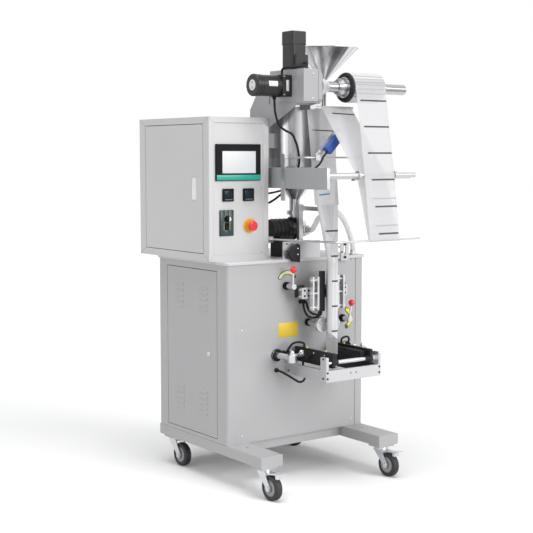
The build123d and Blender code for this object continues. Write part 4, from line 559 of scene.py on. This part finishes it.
def beyond(made, axis, centre, reach, colour, metal, rough):
    """A second finish on the same piece, farther than a reach from a place along an axis."""
    parts, joins = made.node_tree.nodes, made.node_tree.links
    shader = parts["Principled BSDF"]
    where = parts.new("ShaderNodeTexCoord")
    split = parts.new("ShaderNodeSeparateXYZ")
    joins.new(where.outputs["Object"], split.inputs[0])
    away = parts.new("ShaderNodeMath")
    away.operation = "SUBTRACT"
    away.inputs[1].default_value = centre
    joins.new(split.outputs[axis], away.inputs[0])
    far = parts.new("ShaderNodeMath")
    far.operation = "ABSOLUTE"
    joins.new(away.outputs[0], far.inputs[0])
    past = parts.new("ShaderNodeMath")
    past.operation = "GREATER_THAN"
    past.inputs[1].default_value = reach
    joins.new(far.outputs[0], past.inputs[0])
    mottle = parts.new("ShaderNodeTexNoise")
    mottle.inputs["Scale"].default_value = 40.0
    joins.new(where.outputs["Object"], mottle.inputs["Vector"])
    uneven = parts.new("ShaderNodeMapRange")
    uneven.inputs["To Min"].default_value = 0.9
    uneven.inputs["To Max"].default_value = 1.1
    joins.new(mottle.outputs["Fac"], uneven.inputs["Value"])
    other = parts.new("ShaderNodeVectorMath")
    other.operation = "SCALE"
    other.inputs[0].default_value = colour
    joins.new(uneven.outputs[0], other.inputs["Scale"])
    pick = parts.new("ShaderNodeMix")
    pick.data_type = "RGBA"
    joins.new(past.outputs[0], pick.inputs["Factor"])
    joins.new(shader.inputs["Base Color"].links[0].from_socket, pick.inputs[6])
    joins.new(other.outputs[0], pick.inputs[7])
    joins.new(pick.outputs[2], shader.inputs["Base Color"])
    gloss = parts.new("ShaderNodeMix")
    joins.new(past.outputs[0], gloss.inputs["Factor"])
    joins.new(shader.inputs["Roughness"].links[0].from_socket, gloss.inputs[2])
    gloss.inputs[3].default_value = rough
    joins.new(gloss.outputs[0], shader.inputs["Roughness"])
    metals = parts.new("ShaderNodeMix")
    joins.new(past.outputs[0], metals.inputs["Factor"])
    metals.inputs[2].default_value = shader.inputs["Metallic"].default_value
    metals.inputs[3].default_value = metal
    joins.new(metals.outputs[0], shader.inputs["Metallic"])


turned_steel = finish(
    "turned_steel", (0.6, 0.6, 0.61), metal=0.9, rough=0.28, wander=0.06, grain=(30, 30, 30),
    depth=0.03,
)
black_oxide = finish("black_oxide", (0.02, 0.02, 0.022), rough=0.4, wander=0.2, depth=0.05, shine=0.2)
lane_x = 432
seam_jaw = finish("seam_jaw_black", (0.018, 0.018, 0.02), rough=0.38, wander=0.2, depth=0.05, shine=0.25)
beyond(seam_jaw, 0, spot(lane_x, 0, 0).x, 0.0468, (0.68, 0.68, 0.69), 0.85, 0.3)
for side in ("left", "right"):
    dress(f"vertical_jaw_{side}", seam_jaw)
dress("vertical_jaw_slide", turned_steel)
slide_screws = bmesh.new()
screws(slide_screws, [(x, -72, z) for x in (327, 346, 518, 537) for z in (749, 771)], toward, 4.6, 1.6)
shown("slide_screws", slide_screws, black_oxide)
stop_plates = bmesh.new()
for x0, x1 in ((301, 349), (515, 563)):
    slab(stop_plates, (x0, -44, 742), (x1, -38, 790), 1.5)
shown("slide_stop_plates", stop_plates, black_oxide)

# Cross sealing: two black heater jaws run on bright rods in a milled aluminium frame.
# The frame's four bars are bolted at the corners, and nothing but the rods crosses it.
milled_aluminium = finish(
    "milled_aluminium", (0.6, 0.6, 0.61), metal=0.75, rough=0.36, wander=0.05, grain=(30, 200, 200),
    depth=0.04,
)
dress("sealing_frame", milled_aluminium)
dress("sealing_guide_rods", bright_chrome)
for side in ("left", "right"):
    dress(f"horizontal_jaw_{side}", black_oxide)
frame_bolts = bmesh.new()
for bolt_x in (294, 560):
    screws(frame_bolts, [(bolt_x, -262, 444), (bolt_x, -262, 467)], toward, 4.4, 2.0)
screws(frame_bolts, [(287, y, z) for y in (-243, -18) for z in (444, 520)], (-1, 0, 0), 4.4, 2.0)
screws(frame_bolts, [(567, y, z) for y in (-243, -18) for z in (444, 520)], (1, 0, 0), 4.4, 2.0)
shown("frame_bolts", frame_bolts, black_oxide)
# Dark discs paint the shade inside the front bar's two holes.
frame_holes = bmesh.new()
for hole_x in (411, 438):
    turned(frame_holes, spot(hole_x, -262, 457), toward, [(0, 0.05), (2.4, 0.05), (2.9, 0.25), (3.3, 0)], 20)
shown("frame_holes", frame_holes, seam_dark)
# Thin black sheets on the side plates' inner faces are painted shade inside the frame.
painted_shade_sheets = bmesh.new()
slab(painted_shade_sheets, (554.6, -249, 431), (555.1, -1, 475.6), 0.2)
slab(painted_shade_sheets, (298.9, -249, 431), (299.4, -1, 475.6), 0.2)
shown("frame_painted_shade", painted_shade_sheets, black_oxide)
brass = finish("brass", (0.6, 0.4, 0.08), metal=0.8, rough=0.3, wander=0.06, depth=0.03)
for side, hand in (("left", -1), ("right", 1)):
    jaw_x = lane_x + hand * 96
    terminals = bmesh.new()
    screws(terminals, [(jaw_x, y, 539) for y in (-78, -196)], (0, 0, 1), 4.6, 5.0)
    shown(f"jaw_terminals_{side}", terminals, brass, f"horizontal_jaw_{side}")
    pins = bmesh.new()
    screws(pins, [(jaw_x + hand * 6, y, 525) for y in (-60, -128, -196)], (hand, 0, 0), 3.6, 1.6)
    shown(f"jaw_screws_{side}", pins, bright_chrome, f"horizontal_jaw_{side}")

# Cross jaw drives: round shafts that come out of the panel through rubber rings.
# Chromed heads carry short link plates, and cap nuts hold them.
drive_chrome = finish("drive_chrome", (0.7, 0.71, 0.72), metal=0.9, rough=0.2, wander=0.06, depth=0.02)
dress("sealing_drives", drive_chrome)
seals = bmesh.new()
for drive_x in (242, 605):
    ring = [(13.1, 7.1), (16, 9), (21, 8.6), (24.5, 7.6), (26, 5), (26, 0.1)]
    turned(seals, spot(drive_x, 2, 508), toward, ring, 40)
seal_rubber = finish(
    "seal_rubber", (0.012, 0.012, 0.013), rough=0.6, wander=0.15, grain=(120, 120, 120), depth=0.06,
    shine=0.12,
)
shown("drive_seals", seals, seal_rubber)
nuts = bmesh.new()
for nut_x in (242, 286, 561, 605):
    turned(nuts, spot(nut_x, -104, 525), (0, 0, 1), [(8.3, 0), (11.5, 0), (11.5, 1.6), (8.3, 1.6)], 32)
    turned(nuts, spot(nut_x, -104, 527), (0, 0, 1), [(8.2, 0), (10.2, 0), (10.2, 5.4), (8.2, 6.4)], 6)
shown("drive_nuts", nuts, bright_chrome)

# Forming cone and filling tube: thin stainless sheet, rolled and welded.
# The film is drawn over the cone and leaves down the tube as a sleeve.
# A bracket bolted along the lid's front carries both, and a black guard on it hides the crank.
cone_steel = finish(
    "cone_steel", (0.62, 0.62, 0.63), metal=0.85, rough=0.24, wander=0.04, grain=(20, 20, 90),
    depth=0.02,
)
# Painted reflections: light and dark streaks run down the cone and the tube.
streaked(cone_steel, spot(lane_x, -120, 0), (1, 1, 0), 2.2, 0.5, 1.2)
dress("forming_cone", cone_steel)
dress("fill_tube", cone_steel)
dress("cone_stand", turned_steel)
bracket_steel = finish(
    "bracket_steel", (0.55, 0.55, 0.56), metal=0.8, rough=0.3, wander=0.08, grain=(60, 60, 60),
    depth=0.03,
)
dress("former_bracket", bracket_steel)
bracket_screws = bmesh.new()
screws(bracket_screws, [(585, -14, 889), (585, -14, 943)], toward, 5.5, 3.5)
screws(
    bracket_screws,
    [(553, -12, 933), (569, -12, 911), (596, -12, 952), (282, -12, 957), (282, -12, 928)], toward,
    3.6, 2.4,
)
shown("bracket_screws", bracket_screws, black_oxide)
crank_guard = bmesh.new()
guard_y = -26
guard_outline = [
    (331, 957), (322, 955), (288, 920), (286, 912), (304, 886), (338, 881), (341, 886), (341, 950),
]
guard_face = crank_guard.faces.new([crank_guard.verts.new(spot(x, guard_y, z)) for x, z in guard_outline])
grown = bmesh.ops.extrude_face_region(crank_guard, geom=[guard_face])["geom"]
back_rim = [corner for corner in grown if isinstance(corner, bmesh.types.BMVert)]
bmesh.ops.translate(crank_guard, verts=back_rim, vec=(0, 0.0138, 0))
bmesh.ops.recalc_face_normals(crank_guard, faces=crank_guard.faces)
guard_front = spot(0, guard_y, 0).y + 1e-5
rim_edges = [edge for edge in crank_guard.edges if all(end.co.y < guard_front for end in edge.verts)]
bmesh.ops.bevel(crank_guard, geom=rim_edges, offset=0.0025, segments=3, affect="EDGES", profile=0.5)
shown("crank_guard", crank_guard, black_oxide)
guard_screws = bmesh.new()
screws(guard_screws, [(327, guard_y, 938), (327, guard_y, 914)], toward, 3.6, 2.4)
shown("guard_screws", guard_screws, bright_chrome)

# Hopper: polished stainless bin with a welded cone, a loose lid and a filling funnel.
# Long light and dark streaks from rim to outlet are painted reflections on the polished sheet; a rolled bead
# stiffens each rim.
hopper_x, hopper_y = 432, 132
hopper_steel = finish(
    "hopper_steel", (0.62, 0.62, 0.63), metal=0.85, rough=0.22, wander=0.03, grain=(40, 40, 8),
    depth=0.02,
)
streaked(hopper_steel, spot(hopper_x, hopper_y, 0), (1, 1, 0), 2.6, 0.45, 1.45, 0.3)
for node in ("hopper", "hopper_outlet", "hopper_lid", "pipe_clamp"):
    dress(node, hopper_steel)
funnel_x, funnel_y = 527, 63
funnel_steel = finish(
    "funnel_steel", (0.6, 0.6, 0.61), metal=0.85, rough=0.22, wander=0.03, grain=(40, 40, 8),
    depth=0.02,
)
# The funnel's streaks are painted reflections too.
streaked(funnel_steel, spot(funnel_x, funnel_y, 0), (1, 1, 0), 2.4, 0.3, 1.5, 0.24)
dress("funnel", funnel_steel)
rims = bmesh.new()
bead = [(cos(t) * 1.5, sin(t) * 1.5) for t in (pi * k / 6 for k in range(13))]
turned(rims, spot(funnel_x, funnel_y, 1747.6), (0, 0, 1), [(142.2 + x, z) for x, z in bead], 72)
turned(rims, spot(hopper_x, hopper_y, 1266), (0, 0, 1), [(134.1, -0.8), (134.7, 0), (134.1, 0.8)], 72)
turned(rims, spot(hopper_x, hopper_y, 1131), (0, 0, 1), [(23.2, -1), (23.9, 0), (24.6, 1)], 48)
shown("hopper_rims", rims, hopper_steel)
wing = bmesh.new()
slab(wing, (429.5, 79, 1060), (434.5, 83.5, 1090), 1.5)
shown("clamp_wing", wing, turned_steel)

# Filling pump: a cast body painted black, with a polished head and cover towards the outlet.
# It is bolted to the cabinet's lid and driven from below.
pump_black = finish(
    "pump_black", (0.02, 0.02, 0.022), shine=0.4, rough=0.32, wander=0.25, grain=(60, 60, 60),
    depth=0.06,
)
beyond(pump_black, 0, spot(299, 0, 0).x, 0.1242, (0.62, 0.62, 0.63), 0.9, 0.2)
dress("filling_pump", pump_black)
pump_y, pump_z = 132, 1007
pump_trim = bmesh.new()
for rib_x in (312, 332, 352, 372, 392):
    turned(
        pump_trim, spot(rib_x, pump_y, pump_z), (1, 0, 0),
        [(41.1, 0), (44, 1.5), (44, 5.5), (41.1, 7)], 48,
    )
turned(pump_trim, spot(415, pump_y, pump_z), (1, 0, 0), [(41.2, 0), (47, 0), (47, 7.8), (41.2, 7.8)], 48)
shown("pump_ribs", pump_trim, pump_black)
cover = bmesh.new()
turned(cover, spot(440, 60, 1005), toward, [(15.2, 0), (21, 0), (21, 5), (19, 6.5), (15.2, 6.5)], 40)
screws(cover, [(x, 104, z) for x in (426, 458) for z in (984, 1028)], toward, 4.4, 2.6)
shown("pump_cover", cover, bright_chrome)

# Film: a thin white translucent web from the roll to the cone, and the sleeve below it.
# It lets about half the light through, and a faint painted glow lifts its shaded side. Dark bars are printed
# across it, one for each pack, for the sensor.
roll_y, roll_z = -110, 1581
roll_white = finish("roll_white", (0.6, 0.6, 0.61), rough=0.3, wander=0.03, grain=(20, 20, 20), depth=0.03)
streaked(roll_white, spot(0, roll_y, roll_z), (0, 1, 1), 4.5, 0.62, 1.12, 0.12)
dress("film_roll", roll_white)
film_clear = finish("film_clear", (0.62, 0.62, 0.63), rough=0.3, wander=0.03, grain=(20, 20, 20), depth=0.04)
milky_and_glowing = film_clear.node_tree.nodes["Principled BSDF"].inputs
milky_and_glowing["Alpha"].default_value = 0.55
# A faint white emission is a painted glow, so the film's shaded side stays pale.
milky_and_glowing["Emission Color"].default_value = (1, 1, 1, 1)
milky_and_glowing["Emission Strength"].default_value = 0.07
dress("film_web", film_clear)
sleeve_film = finish(
    "sleeve_film", (0.74, 0.74, 0.75), rough=0.24, wander=0.05, grain=(40, 40, 12), depth=0.25,
)
# Painted reflections: light and dark streaks run down the sleeve.
streaked(sleeve_film, spot(lane_x, -120, 0), (1, 1, 0), 2.4, 0.86, 1.06, 0.3)
dress("film_sleeve", sleeve_film)


def surface_of(node):
    """A lookup of the frame's mesh, for pieces that lie on it."""
    held = frame["nodes"][node]
    corners = [held.matrix_world @ v.co for v in held.data.vertices]
    return BVHTree.FromPolygons(corners, [face.vertices[:] for face in held.data.polygons])


def printed_bar(form, on, start_y, z, x0, x1, tall, rise=0.0):
    """Adds a bar that lies on a film, found from in front at even steps in millimetres."""
    strips = []
    steps = 24
    for k in range(steps + 1):
        x = x0 + (x1 - x0) * k / steps
        tilt = rise * (k / steps - 0.5)
        pair = []
        for side in (-0.5, 0.5):
            hit = on.ray_cast(spot(x, start_y, z + tilt + side * tall), Vector((0, 1, 0)))[0]
            pair.append(None if hit is None else form.verts.new(hit + Vector((0, -0.0003, 0))))
        strips.append(pair)
    for near, far in zip(strips, strips[1:]):
        if None in near + far:
            continue
        jump = max(abs(near[0].co.y - far[0].co.y), abs(near[0].co.y - near[1].co.y))
        if jump < 0.006:
            form.faces.new([near[0], far[0], far[1], near[1]])


web = surface_of("film_web")
sleeve = surface_of("film_sleeve")
ink_black = finish("ink_black", (0.035, 0.035, 0.037), rough=0.45, wander=0.15, patch=20.0, depth=0.02)
grey_ink_and_crease_shade = finish("grey_ink_and_crease_shade", (0.4, 0.4, 0.4), rough=0.45, wander=0.1, patch=20.0, depth=0.02)
bars = bmesh.new()
grey_print_and_crease_shade = bmesh.new()
pack_step = 104
for pack in range(6):
    pack_z = 1528 - pack_step * pack
    drift = 573 - 7.4 * pack
    printed_bar(bars, web, -420, pack_z, drift - 62, drift + 74, 6.5)
    if pack in (4, 5):
        printed_bar(grey_print_and_crease_shade, web, -420, pack_z + 31, drift - 70, drift + 74, 4.5)
printed_bar(bars, web, -118, 1476, 436, 566, 4.5, -4)
printed_bar(bars, web, -118, 1409, 380, 592, 4.0, -6)
printed_bar(bars, web, -150, 1209, 405, 456, 5.0)
for sleeve_z in (1009, 909, 809, 708, 607):
    printed_bar(bars, sleeve, -300, sleeve_z, 380, 490, 6.5)
shown("registration_bars", bars, ink_black)
# Grey lines along the film's creases are painted shade, not print; they share the grey print bars' mesh and
# finish.
for crease_z in (1592, 1574, 1556):
    printed_bar(grey_print_and_crease_shade, web, -420, crease_z, 508, 650, 3.0)
shown("grey_print_and_crease_lines", grey_print_and_crease_shade, grey_ink_and_crease_shade)
ink_blue = finish("ink_blue", (0.03, 0.22, 0.55), rough=0.45, wander=0.1, patch=20.0, depth=0.02)
blue_line = bmesh.new()
printed_bar(blue_line, web, -140, 1155, 390, 446, 5.0, 5)
shown("code_line", blue_line, ink_blue)

# Film roll's end and its shaft: the core is held between two turned flanges.
# A ribbed rubber ring grips the roll's face, and all of it turns with the shaft.
shaft_steel = finish(
    "shaft_steel", (0.6, 0.6, 0.61), metal=0.9, rough=0.24, wander=0.04, grain=(8, 60, 60),
    depth=0.02,
)
# Painted reflections: light and dark streaks run along the shaft.
streaked(shaft_steel, spot(0, roll_y, roll_z), (0, 1, 1), 1.8, 0.5, 1.1, 0.3)
dress("roll_shaft", shaft_steel)
grip_ring = bmesh.new()
turned(
    grip_ring, spot(502.8, roll_y, roll_z), (-1, 0, 0),
    [(42.3, 0), (59.5, 0), (59.5, 3), (56, 6), (46, 6), (42.3, 5)], 72,
)
for rib in range(36):
    turn = radians(rib * 10)
    mid = spot(494.6, roll_y + 51 * cos(turn), roll_z + 51 * sin(turn))
    tooth = bmesh.ops.create_cube(grip_ring, size=1.0)["verts"]
    bmesh.ops.scale(grip_ring, vec=(0.0046, 0.011, 0.0036), verts=tooth)
    bmesh.ops.rotate(grip_ring, matrix=Matrix.Rotation(turn, 3, "X"), verts=tooth)
    bmesh.ops.translate(grip_ring, vec=mid, verts=tooth)
ring_grey = finish(
    "ring_grey", (0.04, 0.04, 0.042), rough=0.5, shine=0.2, wander=0.3, grain=(120, 120, 120),
    depth=0.08,
)
shown("roll_grip_ring", grip_ring, ring_grey, "film_roll")
flange_screws = bmesh.new()
for k in range(4):
    turn = radians(30 + 90 * k)
    screws(flange_screws, [(490, roll_y + 38.5 * cos(turn), roll_z + 38.5 * sin(turn))], (-1, 0, 0), 2.2, 1.4)
shown("flange_screws", flange_screws, bright_chrome, "film_roll")

# Gear housing: a cast and painted box with a bearing plate and its nose on the roll's side.
# Four socket screws hold the plate over a dark gasket.
grey_paint = finish("grey_paint", (0.36, 0.36, 0.37), metal=0.15, rough=0.4, wander=0.04, depth=0.04)
housing_paint = finish("housing_paint", (0.4, 0.4, 0.41), metal=0.15, rough=0.38, wander=0.04, depth=0.04)
beyond(housing_paint, 0, spot(255, 0, 0).x, 0.1001, (0.72, 0.72, 0.73), 0.5, 0.3)
dress("gear_housing", housing_paint)
dress("mast_plate", grey_paint)
housing_screws = bmesh.new()
screws(housing_screws, [(300, -155, z) for z in (1532, 1626)], toward, 4.5, 2.5)
shown("housing_screws", housing_screws, bright_chrome)
gasket = bmesh.new()
for start, end, normal in (
    ((327, -155, 1516), (327, -155, 1644), toward),
    ((327, -155, 1645), (327, 66, 1645), (0, 0, 1)),
    ((255, -155, 1519), (327, -155, 1519), toward),
):
    seam(gasket, start, end, normal, 1.6)
shown("housing_gasket", gasket, seam_dark)

# Motors: the roll's motor lies against the housing, and the stirrer's stands on it.
# Black anodised cans with cast ends, bare rating plates, and lids held by screws.
motor_black = finish(
    "motor_black", (0.018, 0.018, 0.019), shine=0.4, rough=0.32, wander=0.12, grain=(90, 90, 90),
    depth=0.04,
)
dress("roll_motor", motor_black)
dress("stirrer_motor", motor_black)
plate_white = finish("plate_white", (0.72, 0.72, 0.73), metal=0.2, rough=0.3, wander=0.03, depth=0.02)
motor_y, motor_z = -38, 1581
end_disc = bmesh.new()
turned(end_disc, spot(95, motor_y, motor_z), (-1, 0, 0), [(0, 0.9), (19, 0.9), (21, 0.4), (21, 0)], 48)
shown("motor_end_disc", end_disc, plate_white)
# Two dark discs paint the shade inside the end cover's holes.
end_holes = bmesh.new()
for hole_z in (1570, 1592):
    turned(end_holes, spot(94, motor_y, hole_z), (-1, 0, 0), [(0, 0.1), (2.6, 0.1), (3, 0)], 16)
shown("motor_end_holes", end_holes, seam_dark)
motor_rings = bmesh.new()
for ring_x in (112, 124, 198):
    turned(
        motor_rings, spot(ring_x, motor_y, motor_z), (1, 0, 0),
        [(41.1, 0), (42, 0.4), (42, 2.6), (41.1, 3)], 64,
    )
slab(motor_rings, (256, -80.3, 1742.4), (326, -9.7, 1744.6), 0.5)
shown("motor_rings", motor_rings, motor_black)
badges = bmesh.new()
for lean in range(-34, 35, 4):
    t0, t1 = radians(lean - 2), radians(lean + 2)
    around = [(motor_y - 41.25 * cos(t), motor_z + 2 + 41.25 * sin(t)) for t in (t0, t1)]
    if abs(lean) < 22:
        corners = [(146, *around[0]), (188, *around[0]), (188, *around[1]), (146, *around[1])]
        badges.faces.new([badges.verts.new(spot(*corner)) for corner in corners])
bmesh.ops.remove_doubles(badges, verts=badges.verts, dist=0.00001)
slab(badges, (228, -80.25, 1560), (241, -79.9, 1603), 0.1)
shown("motor_plates", badges, plate_white)
cap_screws = bmesh.new()
screws(cap_screws, [(x, y, 1795) for x in (262, 320) for y in (-74, -16)], (0, 0, 1), 3.6, 0.2)
screws(cap_screws, [(x, -58.5, z) for x in (270, 318) for z in (1655, 1697)], toward, 2.6, 1.4)
screws(cap_screws, [(217, -80, z) for z in (1546, 1616)], toward, 3.0, 1.6)
shown("motor_screws", cap_screws, bright_chrome)

# Film arm and rods: a painted flat bar with bright ground rods for the film to run over.
# The bar's front end is left bare and milled, and its rods are screwed into it.
arm_paint = finish(
    "arm_paint", (0.4, 0.4, 0.405), metal=0.2, rough=0.4, wander=0.05, grain=(90, 40, 90),
    depth=0.04,
)
dress("film_arm", arm_paint)
rod_steel = finish("rod_steel", (0.64, 0.64, 0.65), metal=0.9, rough=0.22, wander=0.04, depth=0.02)
dress("guide_rods", rod_steel)
dress("dancer_rod", rod_steel)
arm_end = bmesh.new()
slab(arm_end, (268.4, -285.3, 1181), (282.6, -284.9, 1261), 0.1)
shown("arm_end_face", arm_end, plate_white)

# Print mark sensor: a blue moulded body on a slotted steel strip, aimed at the film.
# The strip is clamped on a cross rod that a strap holds on the film arm.
dress("photo_eye_bracket", turned_steel)
eye_blue = finish("eye_blue", (0.016, 0.075, 0.34), rough=0.32, wander=0.06, depth=0.03, coat=0.2)
dress("photo_eye", eye_blue)
eye_tilt = radians(45)
leaning = Matrix.Rotation(-eye_tilt, 4, "Y")
eye_x, eye_y, eye_z = 413 + 4 * sin(eye_tilt), -133, 1357 - 4 * cos(eye_tilt)
lens_grey = finish("lens_grey", (0.15, 0.18, 0.15), rough=0.2, wander=0.1, depth=0.02, coat=0.4)
lens = bmesh.new()
away_x, away_z = 18.2 * sin(eye_tilt), -18.2 * cos(eye_tilt)
lens_x, lens_z = eye_x + away_x, eye_z + away_z
slab(lens, (lens_x - 30, eye_y - 9, lens_z - 0.4), (lens_x + 30, eye_y + 9, lens_z + 0.4), 0.3, leaning)
shown("sensor_lens", lens, lens_grey)
iris = bmesh.new()
turned(
    iris, spot(lens_x + away_x * 0.02, eye_y, lens_z + away_z * 0.02), (away_x, 0, away_z),
    [(0, 0.9), (5, 0.9), (6.4, 0.3), (6.4, 0)], 32,
)
shown("sensor_iris", iris, black_moulding)
top_blue = finish("top_blue", (0.02, 0.2, 0.75), rough=0.3, wander=0.05, depth=0.02)
end_cap = bmesh.new()
end_x, end_z = eye_x + 40.2 * cos(eye_tilt), eye_z + 40.2 * sin(eye_tilt)
slab(end_cap, (end_x - 0.4, eye_y - 9, end_z - 15), (end_x + 0.4, eye_y + 9, end_z + 15), 0.3, leaning)
shown("sensor_end", end_cap, top_blue)
hook = bmesh.new()
tip_x, tip_z = 341 + 152 * cos(eye_tilt), 1302 + 152 * sin(eye_tilt)
slab(hook, (tip_x - 12, -124, tip_z - 10), (tip_x + 10, -120.9, tip_z + 10), 1.0, leaning)
slab(hook, (tip_x - 2, -138, tip_z - 4), (tip_x + 12, -120.9, tip_z - 1), 1.0, leaning)
screws(hook, [(350, -121, 1311), (362, -121, 1323)], toward, 4.5, 3.0)
shown("sensor_hook", hook, turned_steel)

# Cables and hoses: black rubber cables to motors, sensor and heaters, soft clear hoses to the cone.
# Each cable enters its housing through a ribbed gland, and hose clips hold the hoses' ends.
cable_rubber = finish(
    "cable_rubber", (0.012, 0.012, 0.013), rough=0.45, wander=0.15, grain=(90, 90, 90), depth=0.04,
    shine=0.2,
)
hose_plastic = finish(
    "hose_plastic", (0.78, 0.78, 0.79), rough=0.25, wander=0.04, grain=(20, 20, 20), depth=0.03,
)
hose_plastic.node_tree.nodes["Principled BSDF"].inputs["Alpha"].default_value = 0.6
for node in ("machine_cables", "jaw_cables"):
    dress(node, cable_rubber)
dress("hoses", hose_plastic)
glands = bmesh.new()
ribs = [(4.7, 0), (9, 0), (9, 3), (7.6, 3.6), (8.6, 6), (7, 7), (7.8, 9.4), (4.7, 13)]
turned(glands, spot(309, -95, 1668), toward, ribs, 24)
turned(glands, spot(200, -38, 1539.6), (0, 0, -1), ribs, 24)
for gland_x, gland_z in ((361, 718), (377, 717), (240, 447), (276, 516), (572, 516)):
    turned(glands, spot(gland_x, 2, gland_z), toward, ribs, 24)
shown("cable_glands", glands, cable_rubber)
clips = bmesh.new()
turned(
    clips, spot(655, 20, 896), (0, 0, 1),
    [(11.3, 0), (15, 0), (15, 6), (12.4, 8), (12.4, 18), (11.3, 18)], 32,
)
turned(clips, spot(440, 58, 1005), toward, [(11.3, 0), (13.4, 0), (13.4, 9), (11.3, 9)], 32)
shown("hose_clips", clips, bright_chrome)
